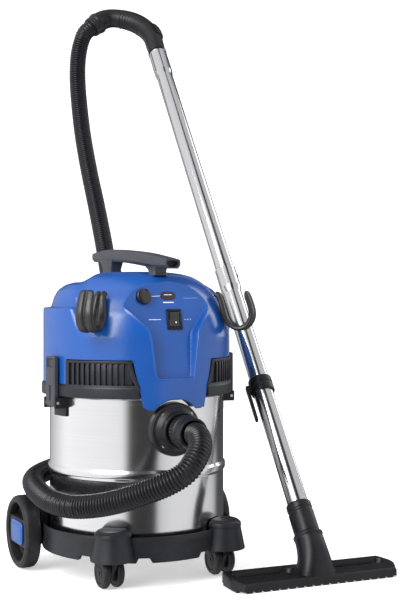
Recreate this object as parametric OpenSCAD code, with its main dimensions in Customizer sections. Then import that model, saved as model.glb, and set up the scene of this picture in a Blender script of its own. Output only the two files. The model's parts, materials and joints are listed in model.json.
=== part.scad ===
// Wet and dry shop vacuum: steel container on a castered base, lift-off motor head, hose, wand and floor nozzle.
// Machine front is -Y, +Z is up. The container stands on its own axis, set off from the origin by machine_x and
// machine_y, so that the origin is at floor level under the middle of the whole set.

/* [Container] */
// Outer radius of the steel container
tank_r = 154; // [152:0.5:155]
// Wall thickness of the container
tank_wall = 1.2; // [0.8:0.1:2]
// Height of the container's bottom above the floor
tank_z = 60; // [60:0.5:62]
// Height of the container's rim above the floor
rim_z = 314; // [312:0.5:314]
// Height of the rolled bead round the container
bead_z = 182; // [176:1:190]
// Height of the suction inlet's axis
inlet_z = 258; // [256:0.5:260]

/* [Base and wheels] */
// Outer radius of the base ring
base_r = 167.5; // [166:0.5:170]
// Height of the base ring's top edge
base_top = 84; // [80:1:88]
// Radius of the rear wheels
rear_wheel_r = 63.5; // [60:0.5:65]
// Distance from the middle of the machine to the middle of a rear wheel
rear_wheel_x = 185; // [184:0.5:188]
// Radius of the caster wheels
caster_wheel_r = 26; // [24:0.5:26]
// How far a caster wheel trails behind its pivot
caster_trail = 14; // [10:1:14]

/* [Head] */
// Outer radius of the blue cover
head_r = 165; // [165:0.5:166]
// Lean of the control panel from upright, in degrees
panel_lean = 13.4; // [12:0.2:15]
// Travel of the filter cleaning button
button_travel = 6; // [3:0.5:7]
// Width of the carry handle
grip_w = 27; // [22:1:32]

/* [Hose and wand] */
// Outer diameter of the hose
hose_d = 38; // [36:0.5:39]
// Outer radius of the steel tubes
tube_r = 18; // [17:0.25:18.5]
// Lean of the wand from upright, in degrees
wand_lean = 36.7; // [36:0.1:37.4]
// Width of the floor nozzle
nozzle_w = 310; // [280:2:320]
// Depth of the floor nozzle from front to back
nozzle_d = 75; // [70:1:80]

/* [Hidden] */
$fn = 64;

// A hair more than a touching face needs, for cuts that run right through
eps = 1;
// Radial clearance between a turning part and its shaft or bore
run_gap = 0.05;

// Where the machine's axis stands in the frame
machine_x = -86.8;
machine_y = -178.7;

// Base: heights, caster pivots and rear axle
base_low = 42;
boss_low = 48;
boss_top = 98;
boss_r = 37;
boss_at = 170;
boss_angle = 37;
cavity_r = 34.3;
stem_r = 5;
caster_wheel_w = 13;
fork_w = 10;
axle_y = 78;
rear_axle_in = 142;
rear_wheel_w = 28;
rear_axle_r = 6;

// Colours
anthracite = [0.16, 0.16, 0.18];
black = [0.08, 0.08, 0.09];
blue = [0.16, 0.32, 0.68];
steel = [0.78, 0.79, 0.8];

// Head: heights of the frame band, the grille and the cover
band_low = 310;
band_top = 330;
grille_top = 372;
grille_from = 26;
grille_to = 69;
shell = 3;
// Outlines of the cover, as [radius, height] from the band up
shoulder_z = 460;
front_outline = [[148, 460], [139, 477], [130, 490], [121, 499], [108, 508], [94, 515], [72, 519], [50, 521]];
back_outline = [[150, 460], [147, 475], [139, 488], [127, 498], [112, 503]];
// Side outline that ends the front dome towards the back, as [y, z]
dome_side = [[-180, 522], [-50, 522], [-10, 517], [20, 509], [45, 497], [60, 480]];

// Control panel: foot of its face, and what sits on it as [across, up]
panel_foot = [0, -154, 338];
panel_outline = [[-33, 2], [33, 2], [43, 80], [88, 140], [84, 152], [60, 162], [0, 168], [-60, 162],
    [-84, 152], [-88, 140], [-43, 80]];
rocker_at = [11, 104];
rocker_tilt = 6;
rocker_pivot_r = 1.5;
button_at = [-42, 143];
badge_at = [4, 145];
button_r = 13;

// Latches and hooks, by their angle from the front
latch_angle = 80;
latch_pivot = [171.5, 299];
latch_w = 30;
hook_angle = 47;
hook_w = 27;
hook_outline = [[146, 486], [150, 492], [156, 490], [166, 462], [173, 442], [180, 431], [190, 427], [200, 430],
    [208, 440], [214, 456], [215, 470], [210, 484], [213, 490], [219, 488], [224, 474], [223, 456],
    [216, 436], [205, 422], [190, 417], [176, 420], [167, 430], [162, 440], [160, 440], [152, 466]];

// Wand: foot of its axis, its turn about the vertical, and distances along it from the foot
wand_foot = [217, -259, 20];
wand_turn = -3.9;
bend_turn = 161;
neck_end = 67;
sleeve_end = 125;
collar_at = 350;
joint_at = 638;
tube_end = 1265;
straight = 45;
bend_r = 104;
bend_a = 75;
tip_r = 42;
tip_a = 50;
cuff_len = 26;
// Air slider on the outside of the bend: its first and last heading
slider_from = 4;
slider_to = 20;
handle_r = 21.5;

// Hose: middle line from the connector's face to the handle's cuff, measured from the machine's axis
hose_route = [[0, -228, 258], [-1, -243, 257], [-5, -259, 252], [-13, -274, 241], [-27, -284, 224],
    [-44, -285, 206], [-66, -272, 190], [-92, -248, 175], [-120, -218, 160], [-148, -180, 148], [-173, -135, 141],
    [-188, -82, 142], [-190, -30, 147], [-184, 20, 152], [-170, 66, 155], [-144, 110, 157], [-105, 148, 160],
    [-60, 174, 164], [-12, 188, 171], [32, 198, 186], [62, 216, 217], [78, 240, 262], [86, 270, 325],
    [91, 305, 400], [94, 348, 485], [99, 398, 578], [108, 470, 678], [113, 528, 762], [116, 574, 845],
    [118, 602, 915], [118, 615, 975], [119, 618, 1020], [123, 617, 1056], [131, 612.5, 1087], [139.6, 611.7, 1099.7],
    [148.9, 612.6, 1107.1]];
hose_sides = 10;
hose_steps = 2;

module machine() {
    translate([machine_x, machine_y, 0]) children();
}

// Turns what is drawn at the front, outward along -Y, round the machine's axis
module around(angle) {
    rotate([0, 0, angle]) children();
}

// A disc or ring about the vertical axis, from one height to another
module ring(outer, inner, low, high) {
    difference() {
        translate([0, 0, low]) cylinder(r = outer, h = high - low);
        translate([0, 0, low - eps]) cylinder(r = inner, h = high - low + 2 * eps);
    }
}

// A cylinder pointing forward along -Y from y to y - length, at height z
module forward(x, y, z, radius, length) {
    translate([x, y, z]) rotate([90, 0, 0]) cylinder(r = radius, h = length);
}

// An outline given as [radius, height], drawn at the front and given a width
module radial_plate(outline, width) {
    rotate([90, 0, -90]) translate([0, 0, -width / 2]) linear_extrude(width) polygon(outline);
}

// ---- base and wheels ----

module boss_place(side) {
    around(side * boss_angle) translate([0, -boss_at, 0]) children();
}

module base_ring() {
    color(anthracite) machine() difference() {
        union() {
            ring(base_r, 159, base_low, base_top);
            ring(160, 118, tank_z - 6, tank_z - 0.1);
            for (side = [-1, 1]) {
                boss_place(side) translate([0, 0, boss_low]) cylinder(r1 = boss_r, r2 = 27, h = boss_top - boss_low);
                translate([side * 142 - 24, axle_y - 36, 45]) cube([48, 68, 66]);
            }
        }
        translate([0, 0, tank_z]) cylinder(r = tank_r + 2, h = 80);
        for (side = [-1, 1]) {
            boss_place(side) translate([0, 0, base_low - eps]) cylinder(r = cavity_r, h = 54.5 - base_low + eps);
            boss_place(side) translate([0, 0, boss_low]) cylinder(r = stem_r + run_gap, h = 42);
            boss_place(side) translate([0, 0, base_low - eps]) cylinder(r = boss_r + 3, h = boss_low - base_low + eps);
            rear_place(side) translate([0, 0, rear_axle_in - 1]) cylinder(r = rear_axle_r + 0.03, h = 40);
        }
    }
}

// The swivelling part: stem in the boss, a block between the wheels and the axle through it
module caster_body(side) {
    color(black) machine() boss_place(side) rotate([0, 0, -side * boss_angle]) {
        translate([0, 0, 40]) cylinder(r = stem_r, h = 48);
        translate([-fork_w / 2, -8, 12]) cube([fork_w, caster_trail + 16, 40]);
        translate([0, caster_trail, caster_wheel_r]) rotate([0, 90, 0]) cylinder(r = 3, h = 38, center = true);
    }
}

module caster_body_left() { caster_body(1); }
module caster_body_right() { caster_body(-1); }

module caster_wheel(side, face) {
    middle = face * (fork_w / 2 + 0.5 + caster_wheel_w / 2);
    half = caster_wheel_w / 2;
    color(black) machine() boss_place(side) rotate([0, 0, -side * boss_angle])
        translate([middle, caster_trail, caster_wheel_r]) rotate([0, 90, 0]) rotate_extrude() polygon([
            [3 + run_gap, -half], [caster_wheel_r - 4, -half], [caster_wheel_r - 1, -half + 1.5],
            [caster_wheel_r, -half + 4], [caster_wheel_r, half - 4], [caster_wheel_r - 1, half - 1.5],
            [caster_wheel_r - 4, half], [3 + run_gap, half]]);
}

module caster_wheel_left_a() { caster_wheel(1, -1); }
module caster_wheel_left_b() { caster_wheel(1, 1); }
module caster_wheel_right_a() { caster_wheel(-1, -1); }
module caster_wheel_right_b() { caster_wheel(-1, 1); }

// Things on the rear axle are drawn along +Z outward and turned to the side
module rear_place(side) {
    translate([0, axle_y, rear_wheel_r]) rotate([0, side * 90, 0]) children();
}

module rear_axle(side) {
    color(steel) machine() rear_place(side) {
        translate([0, 0, rear_axle_in]) cylinder(r = rear_axle_r, h = rear_wheel_x + 9 - rear_axle_in);
        translate([0, 0, rear_wheel_x + 7.3]) cylinder(r = 9, h = 1.7);
    }
}

module rear_axle_left() { rear_axle(1); }
module rear_axle_right() { rear_axle(-1); }

module rear_wheel(side) {
    inner_face = rear_wheel_x - rear_wheel_w / 2;
    outer_face = rear_wheel_x + rear_wheel_w / 2;
    rim_r = rear_wheel_r - 13;
    color(black) machine() rear_place(side) difference() {
        union() {
            rotate_extrude() polygon([[rim_r, inner_face + 1], [rear_wheel_r - 4, inner_face],
                [rear_wheel_r - 1, inner_face + 2], [rear_wheel_r, inner_face + 6],
                [rear_wheel_r, outer_face - 8], [rear_wheel_r - 2, outer_face - 3],
                [rear_wheel_r - 6, outer_face], [rim_r, outer_face - 2]]);
            intersection() {
                translate([-24, -rim_r - 2, rear_wheel_x - 7]) cube([48, 2 * rim_r + 4, 17]);
                translate([0, 0, inner_face]) cylinder(r = rim_r + 2, h = rear_wheel_w);
            }
            translate([0, 0, inner_face]) cylinder(r = 14, h = 21);
        }
        translate([0, 0, inner_face - eps]) cylinder(r = rear_axle_r + run_gap, h = rear_wheel_w);
        translate([0, 0, rear_wheel_x + 7]) cylinder(r = 10, h = 10);
    }
}

module rear_wheel_left() { rear_wheel(1); }
module rear_wheel_right() { rear_wheel(-1); }

module wheel_insert(side) {
    color(blue) machine() rear_place(side) translate([-20, -31, rear_wheel_x + 10]) cube([40, 62, 3]);
}

module wheel_insert_left() { wheel_insert(1); }
module wheel_insert_right() { wheel_insert(-1); }

// ---- container ----

// Half section of the container: the outside going up, then the inside coming down
module container() {
    inside = tank_r - tank_wall;
    color(steel) machine() difference() {
        rotate_extrude($fn = 96) polygon([[0, tank_z], [tank_r - 4, tank_z], [tank_r, tank_z + 4],
            [tank_r, bead_z - 8], [tank_r + 3.5, bead_z - 3], [tank_r + 3.5, bead_z + 3], [tank_r, bead_z + 8],
            [tank_r, rim_z - 5], [tank_r + 3, rim_z - 4], [tank_r + 3, rim_z - 1], [tank_r + 1.5, rim_z],
            [inside, rim_z], [inside, bead_z + 8], [inside + 3.5, bead_z + 3], [inside + 3.5, bead_z - 3],
            [inside, bead_z - 8], [inside, tank_z + 4], [inside - 4, tank_z + tank_wall], [0, tank_z + tank_wall]]);
        forward(0, -tank_r + 10, inlet_z, 25, 20);
    }
}

// Dished flange round the inlet, shaped to the container's wall
module inlet_flange() {
    color(black) machine() difference() {
        union() {
            forward(0, -140, inlet_z, 45, 24);
            translate([0, -164, inlet_z]) rotate([90, 0, 0]) cylinder(r1 = 40, r2 = 31, h = 8);
            forward(0, -172, inlet_z, 31, 12);
        }
        translate([0, 0, inlet_z - 60]) cylinder(r = tank_r + 0.1, h = 120);
        forward(0, -130, inlet_z, 26.2, 60);
    }
}

module inlet_seal() {
    color(black) machine() difference() {
        forward(0, -172, inlet_z, 26.1, 6);
        forward(0, -170, inlet_z, 24.1, 10);
    }
}

// Half pipe inside the inlet that throws the dirt down
module inlet_baffle() {
    color(black) machine() difference() {
        forward(0, -106, inlet_z, 36, 40);
        forward(0, -104, inlet_z, 33.5, 36);
        translate([-40, -150, inlet_z - 40]) cube([80, 60, 40]);
        difference() {
            translate([-40, -152, inlet_z - 40]) cube([80, 52, 80]);
            translate([0, 0, inlet_z - 50]) cylinder(r = tank_r - tank_wall - 0.3, h = 100);
        }
        forward(0, -100, inlet_z, 25.5, 60);
    }
}

// Plate riveted to the container with two ears for the latch's pin
module latch_bracket(side) {
    ear_x = latch_w / 2 + 0.6;
    color(black) machine() around(side * latch_angle) {
        intersection() {
            difference() {
                translate([0, 0, 276]) cylinder(r = tank_r + 3.2, h = 32);
                translate([0, 0, 270]) cylinder(r = tank_r + 0.1, h = 44);
            }
            translate([-ear_x - 4, -180, 270]) cube([2 * ear_x + 8, 60, 44]);
        }
        for (end = [-1, 1]) difference() {
            translate([end * (ear_x + 2) - 2, -latch_pivot[0] - 5, 290]) cube([4, 24, 18]);
            translate([0, 0, 280]) cylinder(r = tank_r + 0.1, h = 44);
            translate([0, -latch_pivot[0], latch_pivot[1]]) rotate([0, 90, 0])
                cylinder(r = 2.53, h = latch_w + 20, center = true);
        }
    }
}

module latch_bracket_left() { latch_bracket(1); }
module latch_bracket_right() { latch_bracket(-1); }

module latch_pins() {
    color(steel) machine() for (side = [-1, 1]) around(side * latch_angle)
        translate([0, -latch_pivot[0], latch_pivot[1]]) rotate([0, 90, 0])
            cylinder(r = 2.5, h = latch_w + 9, center = true);
}

// Lever that stands against the head, with a slot in its foot
module latch(side) {
    color([0.3, 0.3, 0.32]) machine() around(side * latch_angle) difference() {
        translate([-latch_w / 2, -176, 293]) cube([latch_w, 7, 84]);
        translate([0, -latch_pivot[0], latch_pivot[1]]) rotate([0, 90, 0])
            cylinder(r = 2.5 + run_gap, h = latch_w + 2, center = true);
        translate([-2, -178, 306]) cube([4, 11, 26]);
    }
}

module latch_left() { latch(1); }
module latch_right() { latch(-1); }

// ---- head ----

// A slice of ring between two angles from the front, on one side of the machine
module arc_wall(outer, inner, low, high, from_a, to_a, side) {
    span = to_a - from_a;
    translate([0, 0, low]) rotate([0, 0, side > 0 ? -90 + from_a : -90 - to_a])
        rotate_extrude(angle = span) translate([inner, 0]) square([outer - inner, high - low]);
}

module head_frame() {
    color(anthracite) machine() difference() {
        union() {
            ring(head_r + 3, 159.5, band_low, band_top - 0.2);
            ring(160, 62, 318, 322);
            for (side = [-1, 1]) arc_wall(head_r + 1.5, head_r - 3.5, 326, grille_top, grille_from, grille_to, side);
        }
        for (side = [-1, 1], i = [0 : 10]) around(side * (30 + 3.5 * i))
            translate([-3, -head_r - 4, 332]) cube([6, 12, 35]);
        intersection() {
            rotate([0, 0, -114]) translate([0, 0, 300]) rotate_extrude(angle = 48) square([200, 29.9]);
            ring(180, head_r - 3.5, 300, band_top);
        }
        for (a = [0 : 120 : 240]) rotate([0, 0, a]) translate([78, 0, 310]) cylinder(r = 2.05, h = 20);
        forward(0, -140, inlet_z, 50, 50);
    }
}

// Solid outside of the cover, shrunk by gap
module cover_form(gap) {
    low = band_top - (gap > 0 ? eps : 0);
    intersection() {
        rotate_extrude($fn = 96) polygon(concat([[0, 430], [146 - gap, 430]],
            [for (p = front_outline) [p[0] - gap, p[1] - gap]], [[0, 522 - gap]]));
        rotate([90, 0, 90]) translate([0, 0, -200]) linear_extrude(400)
            polygon(concat([[-180, 425]], [for (p = dome_side) [p[0] - gap, p[1] - gap]], [[60 - gap, 425]]));
    }
    translate([0, 0, low]) cylinder(r = head_r - gap, h = shoulder_z - gap - low, $fn = 96);
    rotate_extrude($fn = 96) polygon(concat([[0, 440], [150 - gap, 440]],
        [for (p = back_outline) [p[0] - gap, p[1] - gap]], [[0, 504 - gap]]));
}

module on_panel(at = [0, 0]) {
    translate(panel_foot) rotate([90 - panel_lean, 0, 0]) translate([at[0], at[1], 0]) children();
}

module head_cover() {
    color(blue) machine() difference() {
        union() {
            difference() {
                cover_form(0);
                difference() {
                    cover_form(shell);
                    on_panel() translate([-95, -6, -shell]) cube([190, 190, 80]);
                }
            }
            difference() {
                rotate([0, 0, -90 - 24]) translate([0, 0, 290]) rotate_extrude(angle = 48)
                    translate([head_r - shell + 0.2, 0]) square([shell - 0.3, band_top - 290 + 3]);
                for (side = [-1, 1]) around(side * 24) translate([side > 0 ? 0 : -40, -200, 290])
                    rotate([0, side * 8, 0]) translate([0, 0, -60]) cube([40, 60, 100]);
            }
        }
        on_panel() linear_extrude(90) polygon(panel_outline);
        forward(0, -140, inlet_z, 49, 50);
        for (side = [-1, 1])
            arc_wall(head_r + 5, head_r - 10, 300, grille_top + 0.3, grille_from - 0.2, grille_to + 0.2, side);
        on_panel(rocker_at) translate([-12.2, -16.2, -10]) cube([24.4, 32.4, 20]);
        on_panel(button_at) translate([0, 0, -10]) cylinder(r = button_r + 0.4, h = 20);
        on_panel(badge_at) translate([-14.1, -7.1, -1.2]) cube([28.2, 14.2, 5]);
        translate([-50, 200, 400]) rotate([90, 0, 0]) cylinder(r = 22.1, h = 90);
        translate([45, 200, 372]) rotate([90, 0, 0]) cylinder(r = 9.1, h = 90);
    }
}

module container_gasket() {
    color(black) machine() ring(158.5, 150, rim_z + 0.4, 318);
}

// Side outline of the handle as [y, z], with the front and back posts
module carry_handle() {
    color([0.24, 0.24, 0.27]) machine() difference() {
        rotate([90, 0, 90]) translate([0, 0, -grip_w / 2]) linear_extrude(grip_w) polygon([
            [-150, 527], [-150, 540], [-60, 553], [30, 562], [110, 566], [184, 562], [184, 546], [140, 541],
            [136, 495], [98, 495], [94, 540], [20, 537], [-70, 528], [-76, 505], [-101, 505], [-106, 525]]);
        cover_form(0);
    }
}

module hook(side) {
    color(black) machine() around(side * hook_angle) difference() {
        radial_plate(hook_outline, hook_w);
        rotate([0, 0, -side * hook_angle]) cover_form(0);
        translate([-4, -240, 410]) cube([8, 28, 100]);
    }
}

module hook_left() { hook(1); }
module hook_right() { hook(-1); }

module switch_housing() {
    color(black) machine() on_panel(rocker_at) difference() {
        union() {
            translate([-13.5, -17.5, 0.1]) cube([27, 35, 2.4]);
            translate([-12, -16, -18]) cube([24, 32, 18.2]);
        }
        translate([-9.5, -13.5, -14]) cube([19, 27, 30]);
        rocker_pivot(rocker_pivot_r + run_gap, 22);
    }
}

// The rocker's pivot, or the hole for it, across the middle of the switch
module rocker_pivot(radius, length) {
    rotate([0, 90, 0]) cylinder(r = radius, h = length, center = true);
}

// Drawn at rest, with its lower end pressed in
module power_rocker() {
    color([0.05, 0.05, 0.05]) machine() on_panel(rocker_at) rotate([rocker_tilt, 0, 0]) {
        rotate([0, 90, 0]) translate([0, 0, -9]) linear_extrude(18) polygon([[4, -7], [-2, -13], [-4.5, -12.5],
            [-2.6, 0], [-4.5, 12.5], [-2, 13], [4, 7]]);
        rocker_pivot(rocker_pivot_r, 21);
    }
}

// Cap with a hollow stem that slides in the panel
module clean_button() {
    color([0.05, 0.05, 0.05]) machine() on_panel(button_at) difference() {
        union() {
            translate([0, 0, -14]) cylinder(r = button_r, h = 21);
            translate([0, 0, 7]) cylinder(r1 = button_r, r2 = button_r - 3, h = 3);
        }
        translate([0, 0, -15]) cylinder(r = 10, h = 18);
    }
}

// Return spring at its pressed length, standing on its plate behind the panel
module clean_spring() {
    color(steel) machine() on_panel(button_at) {
        for (i = [0 : 4]) translate([0, 0, -26 + 4.4 * i + 1.2]) rotate_extrude($fn = 32)
            translate([7.5, 0]) circle(r = 1, $fn = 16);
        translate([0, 0, -26.5]) cylinder(r = 11, h = 1);
        translate([0, 0, -26]) difference() {
            cylinder(r = 8, h = 26 - 3 - button_travel);
            translate([0, 0, -eps]) cylinder(r = 7, h = 26);
        }
    }
}

module badge_plate() {
    color([0.12, 0.12, 0.14]) machine() on_panel(badge_at) translate([0, 0, -1.1]) intersection() {
        translate([-14, -7, 0]) cube([28, 14, 2.1]);
        translate([0, 38, 0]) cylinder(r = 45, h = 2.1);
        translate([0, -38, 0]) cylinder(r = 45, h = 2.1);
    }
}

// Blowing outlet at the back, where the hose can be plugged in
module blow_port() {
    color(black) machine() difference() {
        union() {
            translate([-50, 172, 400]) rotate([90, 0, 0]) cylinder(r = 22, h = 46);
            translate([-50, 172, 400]) rotate([90, 0, 0]) cylinder(r = 25, h = 6);
        }
        translate([-50, 173, 400]) rotate([90, 0, 0]) cylinder(r = 19, h = 50);
    }
}

// Strain relief of the mains lead
module cable_gland() {
    color(black) machine() difference() {
        union() {
            translate([45, 166, 372]) rotate([90, 0, 0]) cylinder(r = 9, h = 22);
            translate([45, 186, 372]) rotate([90, 0, 0]) cylinder(r1 = 5.5, r2 = 8, h = 24);
        }
        translate([45, 190, 372]) rotate([90, 0, 0]) cylinder(r = 4, h = 60);
    }
}

// ---- motor, filter and float ----

module motor_mount_ring() {
    color(black) machine() ring(73, 52, 322, 327);
}

module fan_housing() {
    color(steel) machine() difference() {
        union() {
            ring(72, 69, 327, 365);
            ring(84, 70, 327, 329);
            ring(70, 24, 327, 329);
            ring(70, 12, 363, 365);
        }
        for (a = [0 : 120 : 240]) rotate([0, 0, a]) translate([78, 0, 320]) cylinder(r = 2.2, h = 20);
    }
}

module motor_screws() {
    color(steel) machine() for (a = [0 : 120 : 240]) rotate([0, 0, a]) translate([78, 0, 0]) {
        translate([0, 0, 318]) cylinder(r = 2, h = 11.5);
        translate([0, 0, 329]) cylinder(r = 4, h = 3);
    }
}

module motor_can() {
    color([0.5, 0.5, 0.52]) machine() {
        difference() {
            union() {
                ring(48, 45, 365, 440);
                ring(46, 11.1, 440, 448);
                ring(46, 11.1, 366, 373);
            }
            for (a = [0 : 60 : 300]) rotate([0, 0, a]) translate([0, -6, 372]) cube([60, 12, 4]);
        }
        difference() {
            ring(45.1, 33, 380, 422);
            for (a = [45 : 90 : 315]) rotate([0, 0, a]) translate([36, -4, 378]) cube([20, 8, 46]);
        }
    }
}

module motor_bearings() {
    color(steel) machine() {
        ring(11, 4 + run_gap, 366, 373);
        ring(11, 4 + run_gap, 441, 448);
    }
}

module rotor() {
    color([0.6, 0.4, 0.25]) machine() {
        translate([0, 0, 332]) cylinder(r = 4, h = 130);
        ring(31, 3.9, 380, 422);
        ring(13, 3.9, 426, 438);
    }
}

module impeller() {
    color(steel) machine() {
        ring(60, 4, 338, 339.5);
        ring(60, 22, 356, 357.5);
        ring(9, 4, 337, 360);
        for (a = [0 : 45 : 315]) rotate([0, 0, a]) translate([24, -0.75, 339]) cube([34, 1.5, 17.5]);
    }
}

module cooling_fan() {
    color(black) machine() {
        ring(36, 4, 450, 451.5);
        for (a = [0 : 40 : 320]) rotate([0, 0, a]) translate([12, -0.75, 451]) cube([23, 1.5, 8]);
    }
}

// Cage under the head with a stud that holds the filter's cap
module float_cage() {
    color(black) machine() difference() {
        union() {
            ring(61, 26, 315, 318);
            ring(48, 45.5, 240, 316);
            ring(46, 5, 240, 243);
            translate([0, 0, 150]) cylinder(r = 6, h = 92);
        }
        for (a = [0 : 45 : 315]) rotate([0, 0, a]) translate([40, -11, 250]) cube([16, 22, 56]);
    }
}

module float_ball() {
    color([0.9, 0.9, 0.88]) machine() difference() {
        union() {
            translate([0, 0, 244]) cylinder(r = 36, h = 30);
            translate([0, 0, 274]) cylinder(r1 = 36, r2 = 18, h = 14);
        }
        translate([0, 0, 243]) cylinder(r = 33, h = 29);
    }
}

// Pleated paper between two rings
module filter_cartridge() {
    pleats = 40;
    color([0.88, 0.87, 0.82]) machine() {
        translate([0, 0, 172]) linear_extrude(140) difference() {
            polygon([for (i = [0 : 2 * pleats - 1]) (i % 2 == 0 ? 91 : 84) * [cos(i * 180 / pleats), sin(i * 180 / pleats)]]);
            circle(r = 66);
        }
        ring(94, 64, 310, 317.8);
        ring(94, 64, 168, 174);
    }
}

module filter_cap() {
    color(black) machine() {
        ring(95, 7, 164, 168);
        ring(62, 58, 168, 178);
    }
}

module filter_nut() {
    color(black) machine() difference() {
        union() {
            translate([0, 0, 152]) cylinder(r = 13, h = 12);
            translate([-24, -3.5, 150]) cube([48, 7, 12]);
        }
        translate([0, 0, 140]) cylinder(r = 6.02, h = 40);
    }
}

// ---- hose, wand and nozzle ----

module hose_connector() {
    color(black) machine() difference() {
        union() {
            forward(0, -150, inlet_z, 24, 36);
            forward(0, -185, inlet_z, 26, 30);
            forward(0, -203, inlet_z, 28, 5);
            forward(0, -214, inlet_z, 24, 14);
        }
        forward(0, -140, inlet_z, 20.5, 110);
    }
}

function unit(v) = v / norm(v);
// A smooth curve through the route's points
function spline(p0, p1, p2, p3, t) = 0.5 * (2 * p1 + (p2 - p0) * t + (2 * p0 - 5 * p1 + 4 * p2 - p3) * t * t
    + (3 * p1 - p0 - 3 * p2 + p3) * t * t * t);
function route_point(route, i) = route[max(0, min(len(route) - 1, i))];
function smooth_route(route, steps) = concat([for (i = [0 : len(route) - 2], k = [0 : steps - 1])
    spline(route_point(route, i - 1), route[i], route[i + 1], route_point(route, i + 2), k / steps)],
    [route[len(route) - 1]]);
function tangent(line, i) = unit(line[min(len(line) - 1, i + 1)] - line[max(0, i - 1)]);
// Side vectors carried along the line without twist
function sides(line, i, before) = let (t = tangent(line, i), s = unit(before - (before * t) * t))
    i == len(line) - 1 ? [s] : concat([s], sides(line, i + 1, s));

module tube(line, radius, count) {
    side = sides(line, 0, [1, 0, 0]);
    last = len(line) - 1;
    points = [for (i = [0 : last], k = [0 : count - 1]) line[i] + radius * (cos(360 * k / count) * side[i]
        + sin(360 * k / count) * cross(tangent(line, i), side[i]))];
    walls = [for (i = [0 : last - 1], k = [0 : count - 1]) let (n = (k + 1) % count)
        [i * count + k, (i + 1) * count + k, (i + 1) * count + n, i * count + n]];
    ends = [[for (k = [0 : count - 1]) k], [for (k = [count - 1 : -1 : 0]) last * count + k]];
    polyhedron(points, concat(walls, ends), convexity = 10);
}

module hose() {
    color(black) machine() tube(smooth_route(hose_route, hose_steps), hose_d / 2, hose_sides);
}

// The wand's own frame: +Z runs up along the tubes
module wand() {
    machine() translate(wand_foot) rotate([0, 0, wand_turn]) rotate([-wand_lean, 0, 0]) children();
}

// The handle bends in one plane: +X of this frame points into the bend
module bend_plane() {
    wand() rotate([0, 0, bend_turn]) translate([0, 0, tube_end]) children();
}

// Part of a ring that turns from heading from_a to heading to_a, both measured from straight up
module elbow(radius, from_a, to_a, outer, inner) {
    rotate([90, 0, 0]) rotate([0, 0, 180 - to_a]) rotate_extrude(angle = to_a - from_a) translate([radius, 0])
        difference() {
            circle(r = outer);
            circle(r = inner);
        }
}

module at_tip() {
    centre_x = bend_r - (bend_r - tip_r) * cos(bend_a);
    centre_z = straight + (bend_r - tip_r) * sin(bend_a);
    translate([centre_x, 0, centre_z]) children();
}

module wand_handle() {
    color(black) bend_plane() {
        ring(19, 16.6, -30, 1);
        ring(20.5, 16.6, 0, straight + eps);
        translate([bend_r, 0, straight]) elbow(bend_r, 0, bend_a, handle_r, 16);
        at_tip() elbow(tip_r, bend_a - 2, bend_a + tip_a, handle_r + 1, 15);
    }
}

// Saddle that slides along the outside of the bend over the air hole
module air_slider() {
    color([0.1, 0.1, 0.11]) bend_plane() translate([bend_r, 0, straight]) rotate([90, 0, 0])
        rotate([0, 0, 180 - slider_to]) rotate_extrude(angle = slider_to - slider_from) translate([bend_r, 0])
            intersection() {
                difference() {
                    circle(r = handle_r + 4.5);
                    circle(r = handle_r + 0.3);
                }
                translate([8, -30]) square([40, 60]);
            }
}

module hose_cuff() {
    color(black) bend_plane() at_tip() rotate([0, bend_a + tip_a, 0]) translate([-tip_r, 0, 0])
        difference() {
            union() {
                translate([0, 0, 0.4]) cylinder(r1 = 25, r2 = 24, h = 12);
                translate([0, 0, 12]) cylinder(r = 22.5, h = cuff_len - 12);
            }
            translate([0, 0, -eps]) cylinder(r = 16.5, h = cuff_len + 2 * eps);
        }
}

// A steel tube with a wide socket at its top, open all through
module steel_tube(low, high, socket) {
    color(steel) wand() {
        ring(tube_r, tube_r - 1, low, high - socket - 15);
        translate([0, 0, high - socket - 15]) difference() {
            cylinder(r1 = tube_r, r2 = tube_r + 2.2, h = 15);
            translate([0, 0, -0.01]) cylinder(r1 = tube_r - 1, r2 = tube_r + 1.2, h = 15.02);
        }
        ring(tube_r + 2.2, tube_r + 1.2, high - socket, high);
    }
}

module upper_tube() { steel_tube(joint_at - 42, tube_end, 60); }
module lower_tube() { steel_tube(sleeve_end - 45, joint_at, 45); }

// Clamp on the lower tube with the hook that parks the wand
module tube_collar() {
    color(black) wand() {
        ring(tube_r + 4, tube_r + 0.05, collar_at, collar_at + 29);
        rotate([0, 0, bend_turn]) {
            translate([tube_r + 2, -8, collar_at + 8]) cube([9, 16, 10]);
            translate([tube_r + 6, -8, collar_at - 54]) cube([5, 16, 72]);
        }
    }
}

module nozzle_sleeve() {
    color(black) wand() ring(tube_r + 4, tube_r + 0.05, neck_end + 2, sleeve_end);
}

// Places the nozzle flat on the floor, square to the wand
module nozzle_place() {
    machine() translate([wand_foot[0], wand_foot[1], 0]) rotate([0, 0, wand_turn]) children();
}

nozzle_front = -13;
nozzle_h = 22;

// Plan of the nozzle's body, with its front corners cut back
module nozzle_plan(inset) {
    half = nozzle_w / 2 - inset;
    polygon([[-half + 12, nozzle_front + inset], [half - 12, nozzle_front + inset], [half, nozzle_front + 26],
        [half - 6, nozzle_front + nozzle_d - inset], [-half + 6, nozzle_front + nozzle_d - inset],
        [-half, nozzle_front + 26]]);
}

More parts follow.
